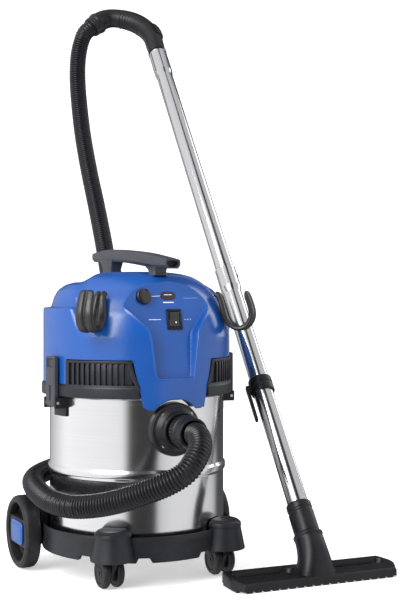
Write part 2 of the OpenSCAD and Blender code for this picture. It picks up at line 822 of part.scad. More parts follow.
module nozzle_body() {
    middle = nozzle_front + nozzle_d / 2;
    color(black) difference() {
        union() {
            nozzle_place() translate([0, 0, 3]) linear_extrude(nozzle_h - 3) nozzle_plan(0);
            nozzle_place() translate([0, middle - 14, nozzle_h - 4]) cylinder(r1 = 34, r2 = 24, h = 18);
            wand() translate([0, 0, 10]) cylinder(r1 = 26, r2 = tube_r + 7, h = neck_end - 10);
        }
        nozzle_place() translate([0, 0, -eps]) linear_extrude(12) nozzle_plan(9);
        wand() translate([0, 0, neck_end - 8]) cylinder(r = tube_r + 1, h = 40);
        wand() translate([0, 0, 10]) cylinder(r = tube_r - 4, h = neck_end);
        nozzle_place() translate([0, 9, 4]) cylinder(r = 12, h = 28);
        for (side = [-1, 1]) nozzle_place() translate([side * 92, middle + 6, 15]) {
            translate([-32, -11, 0]) cube([64, 22, 20]);
            for (end = [-1, 1]) translate([end * 32, 0, 0]) cylinder(r = 11, h = 20);
        }
    }
}

// Rubber sole with teeth along its front
module nozzle_strip() {
    teeth = 9;
    pitch = (nozzle_w - 60) / teeth;
    color([0.05, 0.05, 0.05]) nozzle_place() difference() {
        linear_extrude(3) difference() {
            nozzle_plan(1);
            nozzle_plan(9);
        }
        for (i = [0 : teeth - 1]) translate([(i - (teeth - 1) / 2) * pitch - 4, nozzle_front - 5, -eps])
            cube([8, 16, 2.5]);
    }
}

base_ring();
caster_body_left();
caster_body_right();
caster_wheel_left_a();
caster_wheel_left_b();
caster_wheel_right_a();
caster_wheel_right_b();
rear_axle_left();
rear_axle_right();
rear_wheel_left();
rear_wheel_right();
wheel_insert_left();
wheel_insert_right();
container();
inlet_flange();
inlet_seal();
inlet_baffle();
latch_bracket_left();
latch_bracket_right();
latch_pins();
latch_left();
latch_right();
head_frame();
head_cover();
container_gasket();
carry_handle();
hook_left();
hook_right();
switch_housing();
power_rocker();
clean_button();
clean_spring();
badge_plate();
blow_port();
cable_gland();
motor_mount_ring();
fan_housing();
motor_screws();
motor_can();
motor_bearings();
rotor();
impeller();
cooling_fan();
float_cage();
float_ball();
filter_cartridge();
filter_cap();
filter_nut();
hose_connector();
hose();
hose_cuff();
wand_handle();
air_slider();
upper_tube();
lower_tube();
tube_collar();
nozzle_sleeve();
nozzle_body();
nozzle_strip();
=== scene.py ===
"""Looks of a wet and dry shop vacuum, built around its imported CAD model.

Pieces are drawn in millimetres from the machine's axis (front is -Y, up is +Z), as in part.scad, and
make_piece() puts them into the frame in metres.
"""
import json
import math
import bpy
import bmesh
import numpy as np
from mathutils import Matrix, Vector


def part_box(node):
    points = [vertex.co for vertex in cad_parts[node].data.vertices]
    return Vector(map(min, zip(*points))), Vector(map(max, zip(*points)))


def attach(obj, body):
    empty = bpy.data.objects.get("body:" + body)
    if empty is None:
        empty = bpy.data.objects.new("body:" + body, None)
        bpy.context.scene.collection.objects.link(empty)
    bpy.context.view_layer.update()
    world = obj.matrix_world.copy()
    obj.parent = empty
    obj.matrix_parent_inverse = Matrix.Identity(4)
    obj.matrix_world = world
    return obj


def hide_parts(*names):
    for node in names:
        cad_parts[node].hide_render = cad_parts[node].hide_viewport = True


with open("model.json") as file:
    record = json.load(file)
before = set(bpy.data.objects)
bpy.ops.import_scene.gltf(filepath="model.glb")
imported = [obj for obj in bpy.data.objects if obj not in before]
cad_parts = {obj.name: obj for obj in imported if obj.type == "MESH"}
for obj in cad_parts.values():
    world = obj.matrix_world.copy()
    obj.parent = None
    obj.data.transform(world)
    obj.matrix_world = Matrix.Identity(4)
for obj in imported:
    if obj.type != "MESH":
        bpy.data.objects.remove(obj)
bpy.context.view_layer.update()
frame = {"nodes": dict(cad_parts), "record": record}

MM = 0.001
tank_low, tank_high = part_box("container")
AXIS = np.array([(tank_low.x + tank_high.x) / 2, (tank_low.y + tank_high.y) / 2, 0.0])

# Main sizes, in mm and degrees
TANK_R, TANK_WALL, TANK_Z, RIM_Z, BEAD_Z = 154.0, 1.2, 60.0, 314.0, 182.0
INLET_Z = 258.0
BASE_R, BASE_LOW, BASE_TOP = 167.5, 42.0, 84.0
CASTER_AT, CASTER_ANGLE, CASTER_TRAIL, CASTER_R, CASTER_W = 170.0, 37.0, 14.0, 26.0, 13.0
REAR_X, REAR_Y, REAR_R, REAR_W = 185.0, 78.0, 63.5, 28.0
HEAD_R, SHOULDER_Z, BAND_LOW, BAND_TOP, GRILLE_TOP = 165.0, 460.0, 310.0, 330.0, 372.0
GRILLE_FROM, GRILLE_TO, APRON_TO = 26.0, 69.0, 19.5
DOME_FROM = 400.0
PORT_X, PORT_Z, PORT_R = -50.0, 400.0, 19.5
PANEL_FOOT, PANEL_LEAN = (0.0, -154.0, 338.0), 13.4
LATCH_ANGLE, HOOK_ANGLE = 80.0, 47.0
TUBE_R = 18.0
WAND_FOOT, WAND_TURN, WAND_LEAN, BEND_TURN = (217.0, -259.0, 20.0), -3.9, 36.7, 161.0
NECK_END, SLEEVE_END, COLLAR_AT, JOINT_AT, TUBE_END = 67.0, 125.0, 350.0, 638.0, 1265.0
STRAIGHT, BEND_R, BEND_A, TIP_R, TIP_A, CUFF_LEN = 45.0, 104.0, 75.0, 42.0, 50.0, 26.0
NOZZLE_W, NOZZLE_D, NOZZLE_FRONT = 310.0, 75.0, -13.0

# In metres
HOSE_D, HOSE_LENGTH = 0.038, 1.83

SIDES = ((1, "left"), (-1, "right"))

# Middle line of the hose, the same points as in part.scad
HOSE_ROUTE = [
    (0, -228, 258), (-1, -243, 257), (-5, -259, 252), (-13, -274, 241), (-27, -284, 224),
    (-44, -285, 206), (-66, -272, 190), (-92, -248, 175), (-120, -218, 160), (-148, -180, 148),
    (-173, -135, 141), (-188, -82, 142), (-190, -30, 147), (-184, 20, 152), (-170, 66, 155),
    (-144, 110, 157), (-105, 148, 160), (-60, 174, 164), (-12, 188, 171), (32, 198, 186),
    (62, 216, 217), (78, 240, 262), (86, 270, 325), (91, 305, 400), (94, 348, 485), (99, 398, 578),
    (108, 470, 678), (113, 528, 762), (116, 574, 845), (118, 602, 915), (118, 615, 975),
    (119, 618, 1020), (123, 617, 1056), (131, 612.5, 1087), (139.6, 611.7, 1099.7), (148.9, 612.6, 1107.1)]


# ---- points, curves and placing ----

def turn(axis, degrees):
    return np.array(Matrix.Rotation(math.radians(degrees), 4, axis))


def shift(x, y, z):
    return np.array(Matrix.Translation((x, y, z)))


def place(points, *matrices):
    """Points moved by the matrices, the last one first."""
    points = np.asarray(points, float).reshape(-1, 3)
    for m in reversed(matrices):
        points = points @ m[:3, :3].T + m[:3, 3]
    return points


def around(angle):
    """Turns what is drawn at the front round the machine's axis."""
    return turn("Z", angle)


# +Z of a turned shape points to the front, -Y
FORWARD = turn("X", 90)
INLET = (shift(0, 0, INLET_Z), FORWARD)
PANEL = shift(*PANEL_FOOT) @ turn("X", 90 - PANEL_LEAN)
WAND = shift(*WAND_FOOT) @ turn("Z", WAND_TURN) @ turn("X", -WAND_LEAN)
BEND = WAND @ turn("Z", BEND_TURN) @ shift(0, 0, TUBE_END)
NOZZLE = shift(WAND_FOOT[0], WAND_FOOT[1], 0) @ turn("Z", WAND_TURN)
TIP_CENTRE = (BEND_R - (BEND_R - TIP_R) * math.cos(math.radians(BEND_A)), 0,
              STRAIGHT + (BEND_R - TIP_R) * math.sin(math.radians(BEND_A)))
TIP = BEND @ shift(*TIP_CENTRE) @ turn("Y", BEND_A + TIP_A) @ shift(-TIP_R, 0, 0)


def curve_through(points, steps):
    """A smooth Catmull-Rom curve through the points."""
    p = np.asarray(points, float)
    p = np.vstack([p[0], p, p[-1]])
    t = np.linspace(0, 1, steps, endpoint=False)[:, None]
    rows = [0.5 * (2 * b + (c - a) * t + (2 * a - 5 * b + 4 * c - d) * t ** 2
                   + (3 * b - a - 3 * c + d) * t ** 3)
            for a, b, c, d in zip(p[:-3], p[1:-2], p[2:-1], p[3:])]
    return np.vstack(rows + [p[-1]])


def lengths_along(line):
    return np.concatenate([[0], np.cumsum(np.linalg.norm(np.diff(line, axis=0), axis=1))])


def spaced(line, count):
    """The same line with its points evenly spaced."""
    s = lengths_along(line)
    at = np.linspace(0, s[-1], count)
    return np.stack([np.interp(at, s, line[:, k]) for k in range(line.shape[1])], axis=1)


def rounded(outline, radius, steps=4, closed=False):
    """A flat outline with its corners turned into arcs. radius may be one number or one for each corner."""
    p = np.asarray(outline, float)
    n = len(p)
    radii = np.broadcast_to(radius, n)
    out = []
    for i in range(n):
        if not closed and i in (0, n - 1):
            out.append(p[i])
            continue
        a, b, c = p[i - 1], p[i], p[(i + 1) % n]
        u, v = a - b, c - b
        lu, lv = np.linalg.norm(u), np.linalg.norm(v)
        u, v = u / lu, v / lv
        half = math.acos(float(np.clip(u @ v, -1, 1))) / 2
        cut = min(radii[i] / max(math.tan(half), 1e-6), 0.48 * lu, 0.48 * lv)
        if cut < 1e-3 or half > 1.55:
            out.append(b)
            continue
        for k in range(steps + 1):
            t = k / steps
            out.append((1 - t) ** 2 * (b + u * cut) + 2 * t * (1 - t) * (b + u * cut * 0.12 + v * cut * 0.12)
                       + t ** 2 * (b + v * cut))
    return np.array(out)


def smoothstep(x, low, high):
    t = np.clip((np.asarray(x, float) - low) / (high - low), 0, 1)
    return t * t * (3 - 2 * t)


def outline_distance(points, outline):
    """Signed distance from flat points to a closed outline, negative inside."""
    p = np.asarray(points, float)
    best = np.full(len(p), 1e9)
    inside = np.zeros(len(p), bool)
    for a, b in zip(outline, np.roll(outline, -1, axis=0)):
        d = b - a
        t = np.clip(((p - a) @ d) / (d @ d), 0, 1)
        best = np.minimum(best, np.linalg.norm(p - a - t[:, None] * d, axis=1))
        crosses = (a[1] > p[:, 1]) != (b[1] > p[:, 1])
        level = a[0] + (p[:, 1] - a[1]) * d[0] / (d[1] if abs(d[1]) > 1e-9 else 1e-9)
        inside ^= crosses & (p[:, 0] < level)
    return np.where(inside, -best, best)


# ---- shapes: each is (points, faces) ----

def grid_faces(rows, columns, wrap=False):
    """Faces between rows of points. wrap also joins the last column to the first."""
    last = columns if wrap else columns - 1
    out = []
    for i in range(rows - 1):
        for k in range(last):
            n = (k + 1) % columns
            out.append((i * columns + k, i * columns + n, (i + 1) * columns + n, (i + 1) * columns + k))
    return out


def joined(*shapes):
    points, faces = [], []
    base = 0
    for p, f in shapes:
        points.append(np.asarray(p, float))
        faces += [tuple(base + i for i in face) for face in f]
        base += len(p)
    return np.vstack(points), faces


def moved(shape, *matrices):
    return place(shape[0], *matrices), shape[1]


def loft(rings):
    """A closed skin over rings that all have the same number of points."""
    rings = np.asarray(rings, float)
    count, sides = rings.shape[:2]
    faces = grid_faces(count, sides, wrap=True)
    faces += [tuple(range(sides))[::-1], tuple((count - 1) * sides + k for k in range(sides))]
    return rings.reshape(-1, 3), faces


def lathe(profile, sides=96, swell=None):
    """Turns a profile of (radius, height) round Z. swell(angles, heights) is added to the radius."""
    profile = np.asarray(profile, float)
    a = np.arange(sides) * 2 * math.pi / sides
    r = profile[:, 0][:, None] + np.zeros(sides)
    if swell is not None:
        r = r + np.where(r > 0, swell(a[None, :], profile[:, 1][:, None]), 0)
    z = profile[:, 1][:, None] + np.zeros(sides)
    points = np.stack([r * np.cos(a), r * np.sin(a), z], axis=2).reshape(-1, 3)
    return points, grid_faces(len(profile), sides, wrap=True)


def turned(outline, radius, steps, sides, swell=None):
    """A lathe shape from an outline whose corners are rounded first."""
    return lathe(rounded(outline, radius, steps), sides, swell)


def arc_lathe(profile, from_a, to_a, sides):
    """Turns a closed profile over part of a turn, angles from the front, with flat ends."""
    r, z = profile[:, 0], profile[:, 1]
    return loft([np.stack([r * math.sin(t), -r * math.cos(t), z], axis=1)
                 for t in np.radians(np.linspace(from_a, to_a, sides))])


def rectangle(x0, x1, y0, y1, radius, steps=2):
    return rounded([(x0, y0), (x1, y0), (x1, y1), (x0, y1)], radius, steps, closed=True)


def inset(outline, amount):
    """A closed outline moved inward by amount, along the mitre at each corner."""
    p = np.asarray(outline, float)
    before, after = np.roll(p, 1, axis=0), np.roll(p, -1, axis=0)
    area = np.sum(p[:, 0] * after[:, 1] - after[:, 0] * p[:, 1])
    side = 1 if area > 0 else -1

    def normal(d):
        d = d / np.maximum(np.linalg.norm(d, axis=1, keepdims=True), 1e-9)
        return side * np.stack([-d[:, 1], d[:, 0]], axis=1)
    m = normal(p - before) + normal(after - p)
    m /= np.maximum(np.linalg.norm(m, axis=1, keepdims=True), 1e-9)
    share = np.clip(np.sum(m * normal(after - p), axis=1), 0.5, 1)
    return p + m * (amount / share)[:, None]


def slab(outline, low, high, bevel=1.0, steps=3):
    """A flat outline given a thickness along Z, with rounded edges."""
    levels = [(bevel * (1 - math.sin(t)), low + bevel * (1 - math.cos(t)))
              for t in np.linspace(0, math.pi / 2, steps + 1)]
    levels += [(i, high - (z - low)) for i, z in reversed(levels)]
    rings = [np.column_stack([inset(outline, i), np.full(len(outline), z)]) for i, z in levels]
    return loft(rings)


def block(x, y, z, size, radius=1.0):
    """A box with rounded edges, centred on x, y and z."""
    w, d, h = size[0] / 2, size[1] / 2, size[2] / 2
    outline = rectangle(-w, w, -d, d, min(radius, w * 0.9, d * 0.9), 3)
    return moved(slab(outline, -h, h, min(radius, h * 0.9)), shift(x, y, z))


def sweep(line, sections, up=(0, 0, 1)):
    """Carries sections, one array of flat points for each point of the line, along it without twist."""
    line = np.asarray(line, float)
    tangents = np.gradient(line, axis=0)
    tangents /= np.linalg.norm(tangents, axis=1, keepdims=True)
    side = np.cross(up, tangents[0])
    side /= np.linalg.norm(side)
    rings = []
    for point, t, section in zip(line, tangents, sections):
        side = side - (side @ t) * t
        side /= np.linalg.norm(side)
        rings.append(point + np.outer(section[:, 0], side) + np.outer(section[:, 1], np.cross(t, side)))
    return loft(rings)


def circle(radius, sides):
    a = np.arange(sides) * 2 * math.pi / sides
    return np.stack([radius * np.cos(a), radius * np.sin(a)], axis=1)


def relief(outline_at, rows, columns, height, depth):
    """A plate's face over (u, v) in 0..1. outline_at(u, v) gives x and y, height(x, y) gives z; its walls go
    down to -depth and it is closed below."""
    v, u = np.meshgrid(np.linspace(0, 1, rows), np.linspace(0, 1, columns), indexing="ij")
    x, y = outline_at(u, v)
    z = height(x, y)
    top = np.stack([x, y, z], axis=2).reshape(-1, 3)
    rim = (list(range(columns)) + [(i + 1) * columns - 1 for i in range(1, rows)]
           + [(rows - 1) * columns + k for k in range(columns - 2, -1, -1)]
           + [i * columns for i in range(rows - 2, 0, -1)])
    low = top[rim].copy()
    low[:, 2] = -depth
    base, count = len(top), len(rim)
    faces = grid_faces(rows, columns)
    faces += [(rim[k], base + k, base + (k + 1) % count, rim[(k + 1) % count]) for k in range(count)]
    faces += [tuple(base + k for k in range(count))[::-1]]
    return np.vstack([top, low]), faces


def outside_tank(shape):
    """Pushes what would reach into the container away from the axis, to just outside its wall."""
    radius = TANK_R + 2.2
    p = shape[0].copy()
    r = np.hypot(p[:, 0], p[:, 1])
    within = r < radius
    scale = radius / np.maximum(r[within], 1e-6)
    p[within, 0] *= scale
    p[within, 1] *= scale
    return p, shape[1]


def outside_tank_along_y(shape):
    """Pushes what would reach into the container from the front straight forward, on to its wall."""
    radius = TANK_R + 0.15
    p = shape[0].copy()
    wall = -np.sqrt(np.maximum(radius ** 2 - p[:, 0] ** 2, 0))
    p[:, 1] = np.minimum(p[:, 1], wall)
    return p, shape[1]


def make_piece(name, shape, body, slot, replaces=(), sharp=38, look=None):
    """Makes the object, gives it its look and lets it ride on its body."""
    points, faces = shape
    mesh = bpy.data.meshes.new(name)
    mesh.from_pydata((np.asarray(points) * MM + AXIS).tolist(), [], faces)
    work = bmesh.new()
    work.from_mesh(mesh)
    bmesh.ops.remove_doubles(work, verts=work.verts, dist=2e-6)
    bmesh.ops.dissolve_degenerate(work, dist=1e-6, edges=work.edges)
    bmesh.ops.recalc_face_normals(work, faces=work.faces)
    work.to_mesh(mesh)
    work.free()
    mesh.shade_smooth()
    mesh.set_sharp_from_angle(angle=math.radians(sharp))
    piece = bpy.data.objects.new(name, mesh)
    bpy.context.scene.collection.objects.link(piece)
    mesh.materials.append(LOOKS[look or slot])
    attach(piece, body)
    if replaces:
        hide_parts(*([replaces] if isinstance(replaces, str) else replaces))
    return piece


# ---- camera ----

def make_camera():
    """The photograph's angle: level, from the front and a little to the machine's right."""
    data = bpy.data.cameras.new("camera")
    data.lens = 66.0
    camera = bpy.data.objects.new("camera", data)
    bpy.context.scene.collection.objects.link(camera)
    camera.location = Vector(AXIS) + Vector((-0.785, -1.800, 0.472))
    camera.rotation_euler = (math.radians(90), 0, math.radians(-27))
    bpy.context.scene.camera = camera


# ---- materials ----

# Every material by its name
LOOKS = {}


class Nodes:
    """A material kept in LOOKS, with short ways to add nodes to it."""

    def __init__(self, name):
        self.material = LOOKS[name] = bpy.data.materials.new(name)
        self.material.use_nodes = True
        self.tree = self.material.node_tree
        self.shader = self.tree.nodes["Principled BSDF"]
        self.place = self.add("ShaderNodeTexCoord").outputs["Object"]

    def add(self, kind, inputs=None, **settings):
        made = self.tree.nodes.new(kind)
        for key, value in settings.items():
            setattr(made, key, value)
        for key, value in (inputs or {}).items():
            if isinstance(value, bpy.types.NodeSocket):
                self.tree.links.new(value, made.inputs[key])
            else:
                made.inputs[key].default_value = value
        return made

    def noise(self, scale, detail=3.0, stretch=None, rough=0.5):
        place = self.place
        if stretch:
            place = self.add("ShaderNodeMapping", {"Vector": place, "Scale": stretch}).outputs["Vector"]
        made = self.add("ShaderNodeTexNoise", {"Vector": place, "Scale": scale, "Detail": detail,
            "Roughness": rough})
        return made.outputs["Fac"]

    def between(self, value, low, high, from_low=0.3, from_high=0.7):
        made = self.add("ShaderNodeMapRange", {"Value": value, "From Min": from_low, "From Max": from_high,
            "To Min": low, "To Max": high})
        return made.outputs["Result"]

    def colours(self, value, first, second):
        """Two colours mixed by value. The first may be another node's output."""
        made = self.add("ShaderNodeMix", {"Factor": value}, data_type="RGBA")
        sockets = [s for s in made.inputs if s.type == "RGBA"]
        if isinstance(first, bpy.types.NodeSocket):
            self.tree.links.new(first, sockets[0])
        else:
            sockets[0].default_value = (*first, 1)
        sockets[1].default_value = (*second, 1)
        return [s for s in made.outputs if s.type == "RGBA"][0]

    def link(self, value, socket):
        self.tree.links.new(value, self.shader.inputs[socket])

    def bump(self, value, strength, distance, below=None):
        inputs = {"Height": value, "Strength": strength, "Distance": distance}
        if below is not None:
            inputs["Normal"] = below
        return self.add("ShaderNodeBump", inputs).outputs["Normal"]

    def set(self, **values):
        for key, value in values.items():
            self.shader.inputs[key.replace("_", " ")].default_value = value


DUST = (0.32, 0.31, 0.30)


def shade(colour, factor):
    return tuple(min(1.0, c * factor) for c in colour)


def moulded(name, colour, rough, grain=1500.0, grain_depth=0.00006, coat=0.0, mottle=0.12, dust=0.0,
        gloss=0.3):
    """Moulded plastic: a fine grain, faint flow marks and, where dust is given, patches of dust."""
    n = Nodes(name)
    flow = n.noise(14.0, 4.0)
    fine = n.noise(260.0, 2.0)
    base = n.colours(n.between(flow, 0, 1), shade(colour, 1 - mottle), shade(colour, 1 + mottle))
    if dust:
        cover = n.between(n.noise(55.0, 6.0, rough=0.65), 0.0, dust, 0.5, 0.8)
        base = n.colours(cover, base, DUST)
    n.link(base, "Base Color")
    n.link(n.between(fine, rough - 0.03, rough + 0.03), "Roughness")
    grain_height = n.noise(grain, 2.0)
    waves = n.bump(flow, 0.25, 0.0006)
    n.link(n.bump(grain_height, 0.35, grain_depth, waves), "Normal")
    n.set(Coat_Weight=coat, Coat_Roughness=0.12, Specular_IOR_Level=gloss)


def brushed(name, colour, rough, stretch, anisotropic=0.0, depth=0.00003, streak=0.10):
    """Metal with long fine brush lines, brighter and duller streaks and a few smudges."""
    n = Nodes(name)
    lines = n.noise(1.0, 3.0, stretch=stretch)
    smudge = n.noise(9.0, 4.0)
    n.link(n.colours(n.between(lines, 0, 1), shade(colour, 1 - streak), shade(colour, 1 + streak)),
        "Base Color")
    parts = {0: n.between(lines, -0.02, 0.02), 1: n.between(smudge, rough - 0.03, rough + 0.05)}
    both = n.add("ShaderNodeMath", parts, operation="ADD").outputs[0]
    n.link(both, "Roughness")
    n.link(n.bump(lines, 0.5, depth), "Normal")
    n.set(Metallic=1.0, Anisotropic=anisotropic)


def rubbery(name, colour, rough):
    """Rubber with a grey bloom in patches and a coarse grain."""
    n = Nodes(name)
    bloom = n.noise(30.0, 5.0)
    n.link(n.colours(n.between(bloom, 0, 1), shade(colour, 0.8), shade(colour, 1.5)), "Base Color")
    n.link(n.between(n.noise(120.0, 3.0), rough - 0.08, rough + 0.08), "Roughness")
    n.link(n.bump(n.noise(700.0, 3.0), 0.3, 0.0001), "Normal")


def paper(name):
    """Filter paper with fibres that run along Z."""
    n = Nodes(name)
    fibres = n.noise(1.0, 4.0, stretch=(300, 300, 60))
    n.link(n.colours(n.between(fibres, 0, 1), (0.70, 0.67, 0.59), (0.86, 0.84, 0.77)), "Base Color")
    n.link(n.bump(fibres, 0.5, 0.0003), "Normal")
    n.set(Roughness=0.92)


moulded("anthracite_plastic", (0.012, 0.0125, 0.017), 0.42, dust=0.02)
moulded("black_plastic", (0.006, 0.006, 0.008), 0.38, dust=0.015)
moulded("wheel_plastic", (0.009, 0.009, 0.011), 0.48, dust=0.04)
moulded("blue_plastic", (0.006, 0.062, 0.27), 0.24, grain=900.0, grain_depth=0.000002, mottle=0.05,
    gloss=0.55)
moulded("grey_plastic", (0.034, 0.036, 0.046), 0.44, dust=0.02)
rubbery("rubber_black", (0.010, 0.010, 0.009), 0.42)
brushed("stainless", (0.70, 0.70, 0.71), 0.17, (3, 3, 1500), depth=0.000001, streak=0.03)
brushed("tube_steel", (0.50, 0.50, 0.51), 0.16, (900, 900, 6), depth=0.000003, streak=0.05)
brushed("zinc_steel", (0.58, 0.58, 0.60), 0.30, (60, 60, 60), streak=0.08)
brushed("motor_housing", (0.48, 0.48, 0.50), 0.42, (90, 90, 90), streak=0.12)
brushed("copper_core", (0.58, 0.32, 0.16), 0.35, (40, 40, 2200), depth=0.0002, streak=0.25)
brushed("alloy", (0.68, 0.68, 0.70), 0.26, (120, 120, 120))
moulded("gloss_black", (0.010, 0.010, 0.011), 0.12, grain_depth=0.00001, coat=0.6)
moulded("badge", (0.018, 0.008, 0.012), 0.16, grain_depth=0.00001, coat=0.5)
moulded("hose_plastic", (0.006, 0.006, 0.008), 0.28, dust=0.015)
moulded("float_plastic", (0.82, 0.82, 0.79), 0.38)
paper("filter_paper")
moulded("print_white", (0.75, 0.78, 0.85), 0.4, mottle=0.03)
moulded("print_grey", (0.30, 0.38, 0.62), 0.4, mottle=0.03)

make_camera()


# ---- hose ----

def hose_section_radius(s):
    """Radius in mm along the hose: round ribs with narrow valleys between them."""
    pitch, outer, valley = 5.4, HOSE_D / 2 / MM, 16.7
    wave = 0.5 - 0.5 * np.cos(2 * math.pi * s / pitch)
    return valley + (outer - valley) * wave ** 0.6


def make_hose():
    ring_gap, sides, path_step = 0.9, 28, 8
    line = curve_through(HOSE_ROUTE, 16)
    line = spaced(line, int(lengths_along(line)[-1] / ring_gap))
    radius = hose_section_radius(lengths_along(line))
    shape = sweep(line, [circle(r, sides) for r in radius], up=(1, 0, 0))
    hose = make_piece("ribbed_hose", shape, "trolley", "hose_plastic", "hose", sharp=80)
    path = line[::path_step]
    if (len(line) - 1) % path_step:
        path = np.vstack([path, line[-1]])
    path = path * MM + AXIS


make_hose()


# ---- container and inlet ----

def make_container():
    def bead(r):
        return [(r, BEAD_Z - 9), (r + 3.2, BEAD_Z - 4), (r + 3.2, BEAD_Z + 4), (r, BEAD_Z + 9)]

    inside = TANK_R - TANK_WALL
    outer = [(TANK_R - 5, TANK_Z), (TANK_R, TANK_Z + 5), *bead(TANK_R), (TANK_R, RIM_Z - 7),
             (TANK_R + 2.8, RIM_Z - 5), (TANK_R + 2.8, RIM_Z), (inside, RIM_Z)]
    inner = [*bead(inside)[::-1], (inside, TANK_Z + 5), (inside - 4, TANK_Z + 1.2)]
    shape = turned([(0, TANK_Z), *outer, *inner, (0, TANK_Z + 1.2)], 2.4, 5, 256)
    make_piece("steel_container", shape, "trolley", "stainless", "container", sharp=50)


def make_inlet():
    flange = turned([(26.4, 140), (44.5, 140), (44.5, 160), (43, 163.5), (40.5, 164), (38, 165.5),
        (31.5, 173), (31.0, 184), (26.6, 184), (26.4, 140)], 1.0, 3, 96)
    screw = turned([(0, 164.6), (3.2, 164.6), (3.2, 163), (0, 163)], 0.5, 2, 16)
    screws = [moved(screw, *INLET, turn("Z", a), shift(35.5, 0, 2.2)) for a in (45, 135, 225, 315)]
    make_piece("inlet_flange_body", outside_tank_along_y(moved(flange, *INLET)), "trolley", "black_plastic",
               "inlet_flange")
    make_piece("inlet_flange_screws", joined(*screws), "trolley", "zinc_steel")

    def grip(angles, heights):
        return 0.55 * np.cos(30 * angles) * ((heights > 188.5) & (heights < 201))

    body = rounded([(20.6, 150), (23.9, 150), (23.9, 186), (26.2, 187.2), (26.2, 188.6), (26.2, 190),
        (26.2, 200), (26.2, 201.5), (26.8, 203), (28.2, 204), (28.2, 207), (26.8, 208.6), (25.0, 214),
        (24.2, 222), (25.4, 226.5), (24.6, 228), (20.8, 228), (20.6, 150)], 0.7, 3)
    make_piece("hose_end_connector", moved(lathe(body, 180, swell=grip), *INLET), "trolley",
               "black_plastic", "hose_connector")


# ---- base ----

def make_base():
    """The skirt with its gaps beside the casters and at the back, the floor, and the wheels' housings."""
    gap = 8.0
    angles = np.linspace(-180, 180, 541)
    from_caster = np.abs(np.abs(angles) - CASTER_ANGLE)
    low = BASE_LOW + gap * smoothstep(from_caster, 13.0, 14.6) * (1 - smoothstep(from_caster, 20.5, 22.5))
    from_back = np.abs(np.abs(angles) - 180)
    low = low + gap * (1 - smoothstep(from_back, 24, 27))
    x, y = np.sin(np.radians(angles)), -np.cos(np.radians(angles))

    def ring_points(r, z):
        return np.stack([r * x, r * y, np.broadcast_to(z, x.shape)], axis=1)

    rows = [(159.4, 6), (159.4, 0.6), (160.2, 0), (166.4, 0), (167.3, 0.5), (BASE_R, 1.6)]
    rings = [ring_points(r, low + dz) for r, dz in rows]
    rings += [ring_points(r, z) for r, z in [(BASE_R, 60), (BASE_R, 72), (BASE_R + 0.5, 74),
        (BASE_R + 0.5, 77), (BASE_R, 79), (BASE_R, 82.6), (BASE_R - 0.5, 83.6), (BASE_R - 1.4, BASE_TOP),
        (165.0, BASE_TOP), (164.2, 83.4), (164.0, 82), (164.0, 64), (162.6, 62), (157.0, 61), (156.4, 60),
        (156.4, 55), (159.4, 54)]]
    rings.append(rings[0])
    skirt = (np.vstack(rings), grid_faces(len(rings), len(angles)))
    floor = turned([(118, 54), (158, 54), (158, 59.8), (118, 59.8), (118, 54)], 0.8, 2, 128)
    parts = [skirt, floor]
    for a in np.arange(0, 360, 15.0):
        from_front = abs((a + 180) % 360 - 180)
        if min(abs(from_front - CASTER_ANGLE), abs(from_front - 125)) > 13:
            parts.append(moved(block(0, -161.2, 68, (2.2, 6.4, 14), 0.6), around(a)))
    for side in (-1, 1):
        boss = rounded([(34.6, 48.2), (37, 48.2), (36.6, 50), (29.6, 85.5), (30.8, 87.5), (29.8, 93),
            (23, 98.2), (0, 99.2)], [0, 0.8, 0.8, 1.5, 1.5, 4, 8, 0], 5)
        cone = lathe(np.vstack([[(0, 54), (34.4, 54)], boss]), 72)
        parts.append(outside_tank(moved(cone, around(side * CASTER_ANGLE), shift(0, -CASTER_AT, 0))))
        outline = rounded([(-24, -36), (24, -36), (24, 26), (14, 32), (-24, 32)], [3, 3, 6, 5, 3], 4,
            closed=True)
        bracket_low, bracket_high = 45, 111
        bracket = slab(outline, bracket_low, bracket_high, 2.2)
        if side < 0:
            bracket = moved(bracket, shift(0, 0, bracket_low + bracket_high), turn("Y", 180))
        parts.append(outside_tank(moved(bracket, shift(side * 142, REAR_Y, 0))))
        cap = turned([(0, 0), (15, 0), (15, 3), (11, 5), (6.2, 5), (6.2, 0)], 0.8, 3, 48)
        parts.append(moved(cap, shift(side * 166, REAR_Y, REAR_R), turn("Y", side * 90)))
    make_piece("base_ring_body", joined(*parts), "trolley", "anthracite_plastic", "base_ring")


